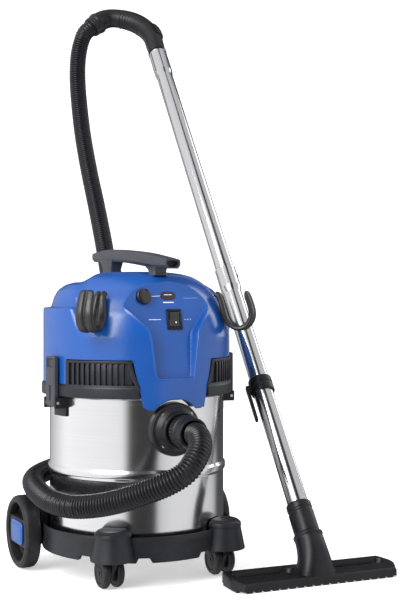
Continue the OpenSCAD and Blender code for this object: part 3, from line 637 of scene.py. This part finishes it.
def make_casters():
    for side, name in SIDES:
        at = around(side * CASTER_ANGLE) @ shift(0, -CASTER_AT, 0) @ turn("Z", -side * CASTER_ANGLE)
        stem = turned([(0, 40), (4.9, 40), (4.9, 88), (0, 88)], 0.5, 2, 32)
        plate = turned([(0, 45), (16, 45), (18, 47), (18, 52.4), (0, 52.4)], 1.2, 3, 48)
        side_view = rounded([(-9, 50), (-7, 34), (2, 13), (14, 9.5), (27, 14), (31, 28), (28, 44),
            (14, 51)], 4, 4, closed=True)
        web = moved(slab(side_view, -4.6, 4.6, 1.2), turn("Z", 90) @ turn("X", 90))
        pin = turned([(0, -19.3), (3, -19.3), (3, 19.3), (0, 19.3)], 0.4, 2, 24)
        pin = moved(pin, shift(0, CASTER_TRAIL, CASTER_R), turn("Y", 90))
        make_piece(f"caster_fork_{name}", moved(joined(stem, plate, web, pin), at), f"caster_{name}",
                   "black_plastic", f"caster_body_{name}")
        for letter, face in (("a", -1), ("b", 1)):
            half = CASTER_W / 2
            tyre = rounded([(3.1, -half), (12, -half), (14, -half + 1), (20, -half + 1), (21.5, -half),
                (23.5, -half), (CASTER_R, -half + 3.4), (CASTER_R, half - 5.2), (23.2, half - 0.6),
                (18.0, half - 0.2), (16.5, half - 1.6), (10.5, half - 1.2), (8.5, half), (3.1, half),
                (3.1, -half)], 1.4, 4)
            wheel = lathe(tyre * (1, face), 72)
            wheel = moved(wheel, at, shift(face * 12, CASTER_TRAIL, CASTER_R), turn("Y", 90))
            make_piece(f"caster_tyre_{name}_{letter}", wheel, f"caster_wheel_{name}_{letter}",
                "wheel_plastic", f"caster_wheel_{name}_{letter}")


def make_rear_wheels():
    inner, outer = REAR_X - REAR_W / 2, REAR_X + REAR_W / 2
    for side, name in SIDES:
        at = shift(0, REAR_Y, REAR_R) @ turn("Y", side * 90)
        tyre = rounded([(49.5, inner + 1), (58, inner), (62.5, inner + 1.5), (REAR_R, inner + 7),
            (REAR_R, outer - 9), (62.2, outer - 3.6), (58, outer), (53.5, outer), (50.5, outer - 3),
            (49.5, inner + 1)], 2.0, 5)

        def tread(angles, heights):
            groove = (np.cos(36 * angles) > 0.72) & (heights > inner + 4) & (heights < outer - 7)
            return -0.35 * groove

        rim = lathe(tyre, 144, swell=tread)
        bar = slab(rectangle(-24, 24, -47, 47, 4, 4), REAR_X - 7, REAR_X + 9.6, 2.0)
        hub = turned([(6.2, inner), (15, inner), (15, inner + 18), (6.2, inner + 18), (6.2, inner)], 1.0, 3,
            48)
        dish = turned([(40, REAR_X - 6), (51, REAR_X - 8), (51, REAR_X - 5), (43, REAR_X - 2),
            (40, REAR_X - 6)], 1.0, 3, 96)
        make_piece(f"rear_tyre_{name}", moved(joined(rim, bar, hub, dish), at), f"rear_wheel_{name}",
            "wheel_plastic", f"rear_wheel_{name}", sharp=45)
        outline = rectangle(-20, 20, -31, 31, 9, 6)
        cap = moved(slab(outline, REAR_X + 9.4, REAR_X + 13, 1.6, 4), at)
        lips = moved(slab(inset(outline, 6), REAR_X + 12.4, REAR_X + 13.6, 0.9, 3), at)
        make_piece(f"wheel_cap_{name}", joined(cap, lips), f"rear_wheel_{name}", "blue_plastic",
            f"wheel_insert_{name}")


# ---- head ----

PANEL_OUTLINE = rounded([(-33, 2), (33, 2), (43, 80), (88, 140), (84, 154), (58, 166), (0, 173), (-58, 166),
    (-84, 154), (-88, 140), (-43, 80)], [7, 7, 26, 10, 12, 40, 60, 40, 12, 10, 26], 8, closed=True)


def cover_low_edge(angles):
    """Height of the cover's lower edge: an apron with an arch, then the grilles, then the band."""
    arch_r, slant_low, over_grille = 50.0, 292, GRILLE_TOP + 0.5
    a = np.abs(angles)
    x = HEAD_R * np.sin(np.radians(a))
    arch = np.where(x < arch_r, INLET_Z + np.sqrt(np.maximum(arch_r ** 2 - x ** 2, 0)), 0)
    apron = np.maximum(arch, 291 + 4 * smoothstep(a, 17, APRON_TO))
    slant = slant_low + (over_grille - slant_low) * np.clip((a - APRON_TO) / 6.4, 0, 1)
    low = np.where(a < APRON_TO, apron, slant)
    return np.where(a > GRILLE_TO + 0.25, BAND_TOP + 0.2, np.where(a > 25.9, over_grille, low))


def cover_angles():
    """Angles of the cover's points: close together at the front and at the grilles' ends."""
    front = np.arange(-46, 46.01, 0.36)
    sides = np.arange(47, GRILLE_TO, 1.5)
    step = [GRILLE_TO, GRILLE_TO + 0.24, GRILLE_TO + 0.26, GRILLE_TO + 0.6]
    back = np.arange(GRILLE_TO + 2, 180, 1.5)
    right = np.concatenate([sides, step, back])
    return np.concatenate([-right[::-1], front, right, [180.0]])


def make_cover():
    """The blue cover: one skin from the apron into the front dome, with a shoulder at the back.

    The control panel is pressed flat into its front and the blow port is left open at the back.
    """
    front = curve_through([(HEAD_R, DOME_FROM), (HEAD_R - 0.6, 412), (161.5, 428), (156, 445), (148.5, 460),
        (139, 477), (130, 489), (120, 499), (108, 507.5), (94, 514), (72, 519), (45, 521.3), (0, 522)], 14)
    back = rounded([(HEAD_R, DOME_FROM), (HEAD_R, SHOULDER_Z - 1), (151.5, SHOULDER_Z), (147, 476),
        (140, 489), (127, 498.5), (112, 503), (60, 504), (0, 504)], [0, 3.5, 2.5, 20, 16, 14, 14, 20, 0], 6)
    rows = 150
    front, back = spaced(front, rows), spaced(back, rows)
    angles = cover_angles()
    x, y = np.sin(np.radians(angles)), -np.cos(np.radians(angles))
    low = cover_low_edge(angles)
    edge = ((161.8, 6.0), (161.8, 1.4), (162.4, 0.3), (163.4, 0.0), (164.5, 0.35), (HEAD_R, 1.3))
    body = [np.stack([r * x, r * y, low + dz], axis=1) for r, dz in edge]
    wall_low = low + edge[-1][1]
    for t in np.linspace(0, 1, 84)[1:-1]:
        body.append(np.stack([HEAD_R * x, HEAD_R * y, wall_low * (1 - t) + DOME_FROM * t], axis=1))
    for f, b in zip(front, back):
        ends_at = 42 - 135 * (np.abs(f[0] * x) / 150) ** 2
        w = smoothstep(f[0] * y, ends_at - 16, ends_at + 16)
        r = f[0] * (1 - w) + b[0] * w
        z = f[1] * (1 - w) + b[1] * w
        body.append(np.stack([r * x, r * y, z], axis=1))
    points = np.vstack(body)
    local = place(points, np.linalg.inv(PANEL))
    distance = outline_distance(local[:, :2], PANEL_OUTLINE)
    height = local[:, 2]
    outside_face = (points[:, 1] < -60) & (np.hypot(points[:, 0], points[:, 1]) > 20)
    above = np.where(outside_face, np.maximum(height, 0), 0)
    sunk = above * (1 - smoothstep(distance, -3.2, 0.2))
    lip = 1.1 * np.exp(-((distance - 1.6) / 1.5) ** 2) * smoothstep(above, 1.5, 5) * outside_face
    local[:, 2] = height - sunk + lip
    points = place(local, PANEL)
    in_port = (np.hypot(points[:, 0] - PORT_X, points[:, 2] - PORT_Z) < PORT_R) & (points[:, 1] > 60)
    faces = grid_faces(len(body), len(angles), wrap=True)
    faces = [face for face in faces if not all(in_port[i] for i in face)]
    make_piece("blue_cover", (points, faces), "head", "blue_plastic", "head_cover", sharp=60)


def make_head_frame():
    """The band, the plate under the head, and a grille of upright bars on each side."""
    band = rounded([(159.6, BAND_LOW), (HEAD_R + 2.4, BAND_LOW), (HEAD_R + 3, BAND_LOW + 3),
        (HEAD_R + 3, BAND_TOP - 4), (HEAD_R + 1.6, BAND_TOP - 0.2), (159.6, BAND_TOP - 0.2)], 0.9, 3,
        closed=True)
    plate = turned([(62, 318.2), (160.2, 318.2), (160.2, 322), (62, 322), (62, 318.2)], 0.6, 2, 160)
    parts = [arc_lathe(band, 22.3, 337.7, 300), plate]
    pitch, slot_w = 3.5, 2.05
    half = (pitch - slot_w) / 2
    for side in (-1, 1):
        spans = [(rectangle(160.6, 162.6, 327, GRILLE_TOP - 1, 0.4), GRILLE_FROM, GRILLE_TO, 40),
                 (rectangle(161.4, 166.8, 367.4, GRILLE_TOP, 1.0), GRILLE_FROM, GRILLE_TO, 40),
                 (rectangle(161.4, 166.8, 326, 332, 1.0), GRILLE_FROM - 3.6, GRILLE_TO, 40),
                 (rectangle(161.4, 166.8, 326, GRILLE_TOP - 0.4, 0.8), GRILLE_TO - 2.6, GRILLE_TO, 5)]
        for i in range(11):
            mid = 30 + pitch * i + pitch / 2
            if mid < GRILLE_TO - 3:
                spans.append((rectangle(162, 166.2, 330, 369, 0.5), mid - half, mid + half, 3))
        for profile, low, high, sides in spans:
            if side < 0:
                low, high = -high, -low
            parts.append(arc_lathe(profile, low, high, sides))
        slope = []
        for z, a0 in ((326, 21.6), (332, 22.2), (350, 23.8), (GRILLE_TOP - 0.6, 25.9), (GRILLE_TOP, 26.2)):
            ring = []
            for r, da in ((161.6, 0.0), (166.6, 0.0), (166.9, 0.4), (166.9, 2.2), (166.4, 2.6),
                    (161.6, 2.6)):
                a = math.radians(side * (a0 + da + (0.9 if z > 340 else 0)))
                ring.append((r * math.sin(a), -r * math.cos(a), z))
            slope.append(ring)
        parts.append(loft(slope))
    make_piece("head_band", joined(*parts), "head", "anthracite_plastic", "head_frame")


def make_carry_handle():
    y0, y1 = -150, 184
    top = curve_through([(y0, 540), (-60, 553), (30, 561.5), (110, 566), (y1, 562)], 10)
    low = curve_through([(y0, 524), (-100, 526.5), (-60, 530), (20, 538), (94, 543), (140, 544), (y1, 545)],
        10)
    y = np.linspace(y0, y1, 60)
    z1, z0 = np.interp(y, top[:, 0], top[:, 1]), np.interp(y, low[:, 0], low[:, 1])

    def section(at, high, under, w, chamfer):
        flat = rounded([(-w + chamfer, under), (w - chamfer, under), (w, under + chamfer + 1),
            (w, high - 2.5), (w - 3, high), (-w + 3, high), (-w, high - 2.5), (-w, under + chamfer + 1)],
            1.2, 3, closed=True)
        return np.column_stack([flat[:, 0], np.full(len(flat), at), flat[:, 1]])

    half_w = 13.5
    rings = [section(a, h, u, half_w, 4.5) for a, h, u in zip(y, z1, z0)]
    ends = ((13, 2.6), (0.4, 2.4), (0, 1.8))
    start = [section(y0 + d, z1[0] - t, z0[0] + t, half_w - t, 4.0) for d, t in ends]
    end = [section(y1 - d, z1[-1] - t, z0[-1] + t, half_w - t, 4.0) for d, t in ends[::-1]]
    bar = loft(start + rings + end)

    def post(levels, half):
        out = []
        for z, from_y, to_y, grow in levels:
            flat = rectangle(-half - grow, half + grow, from_y, to_y, 2.5, 4)
            out.append(np.column_stack([flat, np.full(len(flat), z)]))
        return loft(out)

    front = post([(514, -104, -72, 1.5), (519, -101, -75, 0), (524, -102, -72, 0), (530, -108, -62, 0.8)],
        11.5)
    rear = post([(497, 93, 141, 2.0), (503, 97, 137, 0), (530, 96, 139, -1), (541, 90, 146, 0),
        (550, 84, 152, 1)], 11.8)
    make_piece("carry_grip", joined(bar, front, rear), "head", "grey_plastic", "carry_handle")


def make_hooks():
    """Two strips of rubber, bent up at the end and hollow along the middle."""
    line = curve_through([(146, 482), (152, 478), (157, 466), (162, 450), (169, 434), (182, 424), (197, 424),
                          (208, 434), (212, 448), (209, 464), (204, 478), (201, 488)], 8)
    line = spaced(line, 80)
    flat = np.column_stack([np.zeros(len(line)), -line[:, 0], line[:, 1]])
    across = np.linspace(-1, 1, 33)
    sections = []
    for t in np.linspace(0, 1, len(line)):
        tip = math.sqrt(max(0.0, 1 - max(0.0, (t - 0.9) / 0.1) ** 2)) * 0.92 + 0.08
        foot, waist = 0.62 + 0.38 * smoothstep(t, 0.0, 0.3), 1 - 0.12 * smoothstep(t, 0.6, 0.9)
        w = 16.5 * foot * waist * (0.6 + 0.4 * tip)
        arch = np.maximum(1 - np.abs(across) ** 4, 0.0) ** 0.5
        lobe = 5.6 * arch * (1 - 0.66 * np.exp(-(across / 0.16) ** 2)) * tip
        upper = np.column_stack([across * w, lobe])
        lower = np.column_stack([across[::-1] * w, -0.75 * lobe[::-1] - 0.05])
        sections.append(np.vstack([upper, lower]))
    shape = sweep(flat, sections, up=(0, -1, 0.2))
    for side, name in SIDES:
        make_piece(f"storage_hook_{name}", moved(shape, around(side * HOOK_ANGLE)), "head", "rubber_black",
                   f"hook_{name}", sharp=60)


def make_latches():
    half_w, half_h = 15, 42

    def face(x, z):
        """Thickness of a lever: rounded at its edge, with a long slot below and a hollow above."""
        edge = np.minimum(half_w - np.abs(x), half_h - np.abs(z))
        height = 7.0 - 1.6 * (1 - smoothstep(edge, 0, 1.8))
        slot = np.maximum(np.abs(x) - 2.0, np.abs(z + 22) - 15.0)
        height = height - 4.2 * (1 - smoothstep(slot, -0.3, 0.7))
        hollow = np.maximum(np.abs(x) - 11.5, np.abs(z - 31) - 7.5)
        return height - 3.4 * (1 - smoothstep(hollow, -1.2, 0.4))

    plate = relief(lambda u, v: ((u - 0.5) * 2 * half_w, (v - 0.5) * 2 * half_h), 100, 44, face, 0.0)
    knuckle = turned([(2.6, -14.8), (5.2, -14.8), (5.2, 14.8), (2.6, 14.8), (2.6, -14.8)], 0.8, 3, 32)
    for side, name in SIDES:
        at = around(side * LATCH_ANGLE)
        lever = joined(moved(plate, at @ shift(0, -169, 335) @ turn("X", 90)),
                       moved(knuckle, at, shift(0, -171.5, 299), turn("Y", 90)))
        make_piece(f"latch_lever_{name}", lever, f"latch_{name}", "grey_plastic", f"latch_{name}")


# ---- control panel ----

def make_panel():
    """What stands on the panel, placed on it in mm from the middle of its foot."""
    rocker, button, badge = (shift(x, y, 0) for x, y in ((11, 104), (-42, 143), (4, 145)))
    bars = [block(x, 0, 1.6, (3.6, 34, 3.2), 0.8) for x in (-11.6, 11.6)]
    bars += [block(0, y, 1.6, (26.8, 3.8, 3.2), 0.8) for y in (-15.5, 15.5)]
    well = slab(inset(rectangle(-13.5, 13.5, -17.5, 17.5, 2.5, 4), 1.6), -16, -13.6, 0.4)
    walls = [block(x, 0, -7, (1.6, 31, 14), 0.3) for x in (-11, 11)]
    walls += [block(0, y, -7, (23, 1.6, 14), 0.3) for y in (-14.6, 14.6)]
    make_piece("switch_frame", moved(joined(*bars, well, *walls), PANEL, rocker), "head", "black_plastic",
               "switch_housing")
    side = rounded([(4, -7), (-3, -12.8), (-4.8, -12.2), (-2.4, 0), (-4.8, 12.2), (-3, 12.8), (4, 7)],
                   [1, 1, 0.8, 8, 0.8, 1, 1], 4, closed=True)
    tilt = rocker @ turn("X", 6)
    key = moved(slab(side, -8.9, 8.9, 0.8), PANEL, tilt, turn("Y", 90))
    make_piece("rocker_key", key, "rocker", "gloss_black", "power_rocker")
    dot = moved(lathe([(0, 0), (1.3, 0), (1.1, 0.2), (0, 0.25)], 20), PANEL, tilt, shift(2.5, -5, 3.5))
    make_piece("rocker_dot", dot, "rocker", "gloss_black", look="print_white")
    dome = rounded([(10.2, -13.5), (13, -13.5), (13, 6.2), (12.2, 8.4), (9, 9.7), (5, 10.3), (0, 10.5)],
        1.6, 5)
    cap = lathe(np.vstack([[(0, 3), (10.2, 3)], dome]), 72)
    make_piece("button_cap", moved(cap, PANEL, button), "button", "gloss_black", "clean_button")
    dashes = ((-3.2, 1.6, 3.0), (1.2, 1.6, 2.4), (4.4, 1.6, 1.6), (-1.6, -0.6, 2.0), (2.2, -0.6, 2.6))
    marks = [block(x, y, 9.9, (w, 0.7, 0.6), 0.25) for x, y, w in dashes]
    make_piece("button_marks", moved(joined(*marks), PANEL, button), "button", "gloss_black",
        look="print_white")
    collar = turned([(13.4, -2), (15.2, -2), (15.2, 0.6), (14.6, 1.1), (13.4, 1.0), (13.4, -2)], 0.4, 3, 72)
    make_piece("button_collar", moved(collar, PANEL, button), "head", "blue_plastic")
    oval = circle(1, 48)
    oval = np.sign(oval) * np.abs(oval) ** 0.75 * (14, 7)
    make_piece("badge_oval", moved(slab(oval, -0.9, 1.2, 0.6), PANEL, badge), "head", "badge", "badge_plate")
    # x, y and height on the panel, width, thickness and slant. The last line lies on the badge
    lines = [(-19.5, 144.2, 0.25, 18, 0.9, 3), (-24, 104, 0.25, 22, 0.9, 0), (4, 133.5, 0.25, 20, 1.6, 0),
             (4, 146.5, 1.3, 15, 1.0, 0)]
    marks = [moved(block(0, 0, z, (w, h, 0.6), 0.25), PANEL, shift(x, y, 0), turn("Z", a))
             for x, y, z, w, h, a in lines]
    make_piece("panel_marks", joined(*marks), "head", "blue_plastic", look="print_white")
    dot = lathe([(0, 0.5), (1.1, 0.45), (1.2, 0)], 12)
    faint = [block(46, 141, 0.22, (26, 0.6, 0.5), 0.2),
        *(moved(dot, shift(x, 104, 0)) for x in (32, 37, 42))]
    make_piece("panel_dots", moved(joined(*faint), PANEL), "head", "blue_plastic", look="print_grey")


# ---- wand, handle and nozzle ----

def make_tubes():
    """Two tubes, each open all through and widened at its upper end, where the next part goes in."""
    r = TUBE_R

    def tube(low, high, socket, name, node):
        profile = rounded([(r - 1, low), (r, low), (r, high - socket - 15), (r + 2.2, high - socket - 2),
                           (r + 2.2, high - 1.6), (r + 2.6, high - 0.8), (r + 2.2, high), (r + 1.2, high),
                           (r + 1.2, high - socket), (r - 1, high - socket - 16), (r - 1, low)], 0.8, 3)
        make_piece(name, moved(lathe(profile, 96), WAND), "trolley", "tube_steel", node, sharp=50)

    tube(JOINT_AT - 42, TUBE_END, 60, "wand_tube_upper", "upper_tube")
    tube(SLEEVE_END - 45, JOINT_AT, 45, "wand_tube_lower", "lower_tube")
    button = turned([(0, 0), (4.4, 0), (4.4, 1.2), (2.5, 2.2), (0, 2.4)], 0.6, 3, 24)
    button = moved(button, WAND, turn("Z", BEND_TURN + 180), shift(r + 1.8, 0, JOINT_AT - 20), turn("Y", 90))
    make_piece("tube_lock_button", button, "trolley", "tube_steel")


def make_collar():
    """The collar with its tongue."""
    ring = np.array([(0.1, 0), (3.4, 0), (4, 2), (4, 12), (3.2, 13.5), (3.2, 15.5), (4, 17), (4, 27),
        (3.4, 29), (0.1, 29), (0.1, 0)])
    ring = turned(ring + (TUBE_R, COLLAR_AT), 0.6, 3, 96)
    arm = rounded([(0, -8), (10, -6.5), (10, 6.5), (0, 8)], 1.5, 3, closed=True)
    root = moved(slab(arm, COLLAR_AT + 5, COLLAR_AT + 19, 1.5), shift(TUBE_R + 1.5, 0, 0))
    outline = np.array([(-8, 20), (8, 20), (7, -48), (4, -54), (-4, -54), (-7, -48)]) + (0, COLLAR_AT)
    outline = rounded(outline, [4, 4, 3, 3, 3, 3], 4, closed=True)
    # The outline's x goes to Y, its y to Z and its thickness to X
    upright = np.array([[0, 0, 1, 0], [1, 0, 0, 0], [0, 1, 0, 0], [0, 0, 0, 1]], float)
    tongue = moved(slab(outline, 0, 5, 1.6), shift(TUBE_R + 6, 0, 0), upright)
    make_piece("parking_collar", moved(joined(ring, moved(joined(root, tongue), turn("Z", BEND_TURN))),
        WAND), "trolley", "black_plastic", "tube_collar")


def bend_at(heading):
    """The place on the handle's middle line after heading degrees of its bend."""
    return shift(BEND_R, 0, STRAIGHT) @ turn("Y", heading) @ shift(-BEND_R, 0, 0)


def make_handle():
    """The bent grip with its rings and ribs, the slider's pad, and the cuff that turns on the grip's tip."""
    line, radius = [], []
    for s in np.linspace(-30, STRAIGHT, 36, endpoint=False):
        line.append((0, 0, s))
        radius.append(19.0 if s < -0.5 else 19.6 + 1.4 * smoothstep(s, 0, STRAIGHT))
    for t in np.linspace(0, BEND_A, 46, endpoint=False):
        a = math.radians(t)
        line.append((BEND_R * (1 - math.cos(a)), 0, STRAIGHT + BEND_R * math.sin(a)))
        radius.append(21.0 + 1.4 * math.sin(math.pi * min(1, t / BEND_A)) ** 2)
    for t in np.linspace(BEND_A, BEND_A + TIP_A, 26):
        a = math.radians(t)
        line.append((TIP_CENTRE[0] - TIP_R * math.cos(a), 0, TIP_CENTRE[2] + TIP_R * math.sin(a)))
        radius.append(21.0 + 1.4 * smoothstep(t, BEND_A, BEND_A + TIP_A))
    grip = sweep(line, [circle(r, 48) for r in radius], up=(0, 1, 0))
    rings = [turned([(18.5, z - 1.4), (r, z - 1.2), (r, z + 1.2), (18.5, z + 1.4)], 0.5, 2, 64)
             for z, r in ((1.0, 20.6), (4.5, 21.2), (8, 20.4))]
    rib = turned([(20.6, -0.9), (23.0, -0.6), (23.0, 0.6), (20.6, 0.9)], 0.4, 2, 64,
                 swell=lambda a, h: -1.6 * (np.cos(a) < 0.1))
    ribs = [moved(rib, bend_at(30 + 4.2 * k)) for k in range(9)]
    make_piece("wand_grip", moved(joined(grip, *rings, *ribs), BEND), "trolley", "black_plastic",
        "wand_handle", sharp=55)

    headings = np.linspace(4, 20, 30)
    arc = np.radians(np.linspace(-64, 64, 25))
    inner = np.stack([-22.7 * np.cos(arc[::-1]), 22.7 * np.sin(arc[::-1])], 1)
    rings = []
    for k, heading in enumerate(headings):
        fade = min(1.0, k / 2.5, (len(headings) - 1 - k) / 2.5)
        ridge = 0.9 * max(0.0, math.sin(k * 1.35)) if 6 < k < 24 else 0.0
        top_r, side_r = 22.8 + (2.6 + ridge) * fade ** 0.5, 22.8 + 2.6 * fade ** 0.5
        flat = np.vstack([np.stack([-top_r * np.cos(arc), side_r * np.sin(arc)], 1), inner])
        rings.append(place(np.column_stack([flat, np.zeros(len(flat))]), BEND, bend_at(heading)))
    make_piece("air_slider_pad", loft(rings), "air_slider", "black_plastic", "air_slider")
    cuff = turned([(16.7, 0.6), (24.4, 0.6), (25.0, 3), (24.6, 8), (23.0, 11.5), (22.4, 13), (22.4, 17),
        (23.2, 18.5), (22.2, 20), (22.6, 24.5), (21.8, CUFF_LEN), (16.7, CUFF_LEN), (16.7, 0.6)], 0.8, 4,
        96)
    make_piece("swivel_cuff", moved(cuff, TIP), "hose_cuff", "black_plastic", "hose_cuff")


def make_nozzle():
    """The plate with ribbed hollows and a saddle, the neck, its sleeve and the sole's strips."""
    half = NOZZLE_W / 2
    middle = NOZZLE_FRONT + NOZZLE_D / 2
    back = NOZZLE_FRONT + NOZZLE_D

    def reach_at(v):
        """Half the width at a share v of the depth."""
        deep = v * NOZZLE_D
        return half - 12 * (1 - np.clip(deep / 26, 0, 1)) - 6 * np.clip((deep - 26) / 49, 0, 1) ** 2

    def plan(u, v):
        return (2 * u - 1) * reach_at(v), NOZZLE_FRONT + v * NOZZLE_D

    def height(x, y):
        v = (y - NOZZLE_FRONT) / NOZZLE_D
        edge = np.minimum(np.minimum(reach_at(v) - np.abs(x), y - NOZZLE_FRONT), back - y)
        top = 16.5 + 5.3 * smoothstep(v, 0.0, 0.55) - 3.4 * (1 - np.clip(edge / 4.0, 0, 1)) ** 2
        cx = np.clip(np.abs(x), 46, 130)
        pocket = np.hypot(np.abs(x) - cx, (y - middle - 5)) - 13.5
        top = top - 9.5 * (1 - smoothstep(pocket, -1.6, 0.6))
        rib = np.abs(((np.abs(x) - 60) % 17) - 8.5) < 0.9
        top = top + 3.0 * rib * (1 - smoothstep(pocket, -2.2, -1.2)) * (np.abs(x) < 128)
        saddle = np.hypot(x / 42.0, (y - middle + 4) / 34.0)
        return top + 9.5 * (1 - smoothstep(saddle, 0.25, 1.0))

    plate = relief(plan, 64, 256, height, -3.2)
    rails = [block(0, NOZZLE_FRONT + 4.6, 4.4, (NOZZLE_W - 28, 8, 3.2), 1.0),
             block(0, back - 4.6, 4.4, (NOZZLE_W - 20, 8, 3.2), 1.0)]
    sides = 96
    ring = np.column_stack([circle(1, sides), np.zeros(sides)])
    box = np.sign(ring) * np.abs(ring) ** 0.62
    upper = place(ring * 24.6 + (0, 0, NECK_END - 10), WAND)
    bend = place(ring * (27, 26, 1) + (0, 0, 15), WAND)
    low = place(box * (35, 33, 1) + (0, middle - 3, 11.5), NOZZLE)
    top = ((19.4, 20), (19.4, NECK_END), (25.0, NECK_END), (25.6, NECK_END - 0.6), (25.6, NECK_END - 4),
           (24.6, NECK_END - 5))
    rings = [place(ring * r + (0, 0, z), WAND) for r, z in top]
    rings += [upper * (1 - t) ** 2 + bend * 2 * t * (1 - t) + low * t ** 2 for t in np.linspace(0, 1, 22)]
    neck = (np.vstack(rings), grid_faces(len(rings), sides))
    make_piece("nozzle_shell", joined(moved(joined(plate, *rails), NOZZLE), neck), "trolley",
        "black_plastic", "nozzle_body", sharp=50)
    sleeve = turned([(TUBE_R + 0.2, NECK_END + 1), (TUBE_R + 3.4, NECK_END + 1), (TUBE_R + 4, NECK_END + 3),
        (TUBE_R + 4, SLEEVE_END - 18), (TUBE_R + 3.0, SLEEVE_END - 16), (TUBE_R + 3.0, SLEEVE_END - 13),
        (TUBE_R + 4, SLEEVE_END - 11), (TUBE_R + 3.8, SLEEVE_END - 2), (TUBE_R + 2.4, SLEEVE_END),
        (TUBE_R + 0.2, SLEEVE_END), (TUBE_R + 0.2, NECK_END + 1)], 0.7, 3, sides)
    make_piece("neck_sleeve", moved(sleeve, WAND), "trolley", "black_plastic", "nozzle_sleeve")
    teeth, strip = 18, NOZZLE_W - 30
    pitch = strip / teeth
    parts = [block((i - (teeth - 1) / 2) * pitch, NOZZLE_FRONT + 5, 1.7, (pitch - 4.5, 7.2, 3.2), 1.2)
             for i in range(teeth)]
    parts.append(block(0, NOZZLE_FRONT + 6.5, 2.6, (strip, 4, 1.4), 0.5))
    parts.append(block(0, back - 5, 1.65, (NOZZLE_W - 16, 7, 3.3), 1.0))
    parts += [block(s * (half - 7.0), middle + 2, 1.65, (7, NOZZLE_D - 22, 3.3), 1.0) for s in (-1, 1)]
    make_piece("nozzle_sole", moved(joined(*parts), NOZZLE), "trolley", "rubber_black", "nozzle_strip")


# ---- pieces that keep their CAD shape ----

def dress_cad_nodes():
    """Every CAD node gets its slot's look, shown or not."""
    slots = {s["node"]: s["material_slot"] for s in frame["record"]["subparts"]}
    for name, obj in frame["nodes"].items():
        for slot in obj.material_slots:
            slot.material = LOOKS[slots[name]]


# ---- floor and light ----

def make_stage():
    """A pale floor, in metres, that rises behind the machine and is turned to face the camera."""
    n = Nodes("floor")
    n.link(n.colours(n.between(n.noise(3.0), 0, 1), (0.86, 0.86, 0.87), (0.90, 0.90, 0.905)), "Base Color")
    n.set(Roughness=0.7, Emission_Color=(1, 1, 1, 1), Emission_Strength=0.42)
    mesh = bpy.data.meshes.new("floor")
    reach, back, rise, steps = 7.0, 4.5, 2.5, 16
    cosine, sine = 0.891, 0.454
    line = [(-9.0, 0.0), (back, 0.0)]
    line += [(back + rise * math.sin(t), rise * (1 - math.cos(t)))
        for t in np.linspace(0.1, math.pi / 2, steps)]
    line.append((back + rise, 7.0))
    points = [(x, y, z) for y, z in line for x in (-reach, reach)]
    points = [(x * cosine + y * sine, y * cosine - x * sine, z) for x, y, z in points]
    mesh.from_pydata(points, [], [(2 * i, 2 * i + 1, 2 * i + 3, 2 * i + 2) for i in range(len(line) - 1)])
    mesh.shade_smooth()
    mesh.materials.append(n.material)
    floor = bpy.data.objects.new("floor", mesh)
    floor.visible_glossy = False
    bpy.context.scene.collection.objects.link(floor)


def area_light(name, place, target, size, power, shiny=True):
    """A lamp turned to target. Metal mirrors it only when shiny is true."""
    data = bpy.data.lights.new(name, "AREA")
    data.shape, data.size, data.size_y, data.energy = "RECTANGLE", size[0], size[1], power
    light = bpy.data.objects.new(name, data)
    light.location = place
    light.rotation_euler = (Vector(target) - Vector(place)).to_track_quat("-Z", "Y").to_euler()
    light.visible_glossy = shiny
    bpy.context.scene.collection.objects.link(light)


def make_world():
    """Pale surroundings that are dark on the camera's side and at the back right."""
    world = bpy.data.worlds.new("studio")
    bpy.context.scene.world = world
    world.use_nodes = True
    tree = world.node_tree
    add, link = tree.nodes.new, tree.links.new
    way = add("ShaderNodeTexCoord")
    split = add("ShaderNodeSeparateXYZ")
    link(way.outputs["Generated"], split.inputs[0])
    azimuth = add("ShaderNodeMath")
    azimuth.operation = "ARCTAN2"
    link(split.outputs["X"], azimuth.inputs[0])
    link(split.outputs["Y"], azimuth.inputs[1])
    turn_share = add("ShaderNodeMapRange")
    link(azimuth.outputs[0], turn_share.inputs["Value"])
    turn_share.inputs["From Min"].default_value = -math.pi
    turn_share.inputs["From Max"].default_value = math.pi
    ramp = add("ShaderNodeValToRGB")
    link(turn_share.outputs["Result"], ramp.inputs[0])
    # Share of a turn, clockwise from the front, and brightness there
    stops = [(0.0, 0.05), (0.09, 0.05), (0.115, 1.1), (0.36, 1.3), (0.44, 0.8), (0.50, 0.5), (0.53, 0.08),
             (0.70, 0.08), (0.73, 0.65), (0.80, 0.95), (0.93, 0.95), (0.985, 0.8), (1.0, 0.05)]
    ramp.color_ramp.elements.remove(ramp.color_ramp.elements[1])
    for k, (at, level) in enumerate(stops):
        stop = ramp.color_ramp.elements[0] if k == 0 else ramp.color_ramp.elements.new(at)
        stop.position = at
        stop.color = (level, level, level * 1.01, 1)
    background = tree.nodes["Background"]
    link(ramp.outputs["Color"], background.inputs["Color"])
    background.inputs["Strength"].default_value = 1.0


dress_cad_nodes()
make_container()
make_inlet()
make_base()
make_casters()
make_rear_wheels()
make_cover()
make_head_frame()
make_carry_handle()
make_hooks()
make_latches()
make_panel()
make_tubes()
make_collar()
make_handle()
make_nozzle()
make_stage()
make_world()
centre = Vector(AXIS) + Vector((0, 0, 0.4))
area_light("key", centre + Vector((-2.4, -1.2, 1.6)), centre, (1.6, 2.2), 105)
area_light("top", centre + Vector((0, -0.3, 2.6)), centre, (2.5, 2.5), 40, False)
area_light("right", centre + Vector((2.2, 0.4, 1.0)), centre, (0.8, 2.0), 14)
bpy.context.scene.view_settings.view_transform = "Standard"
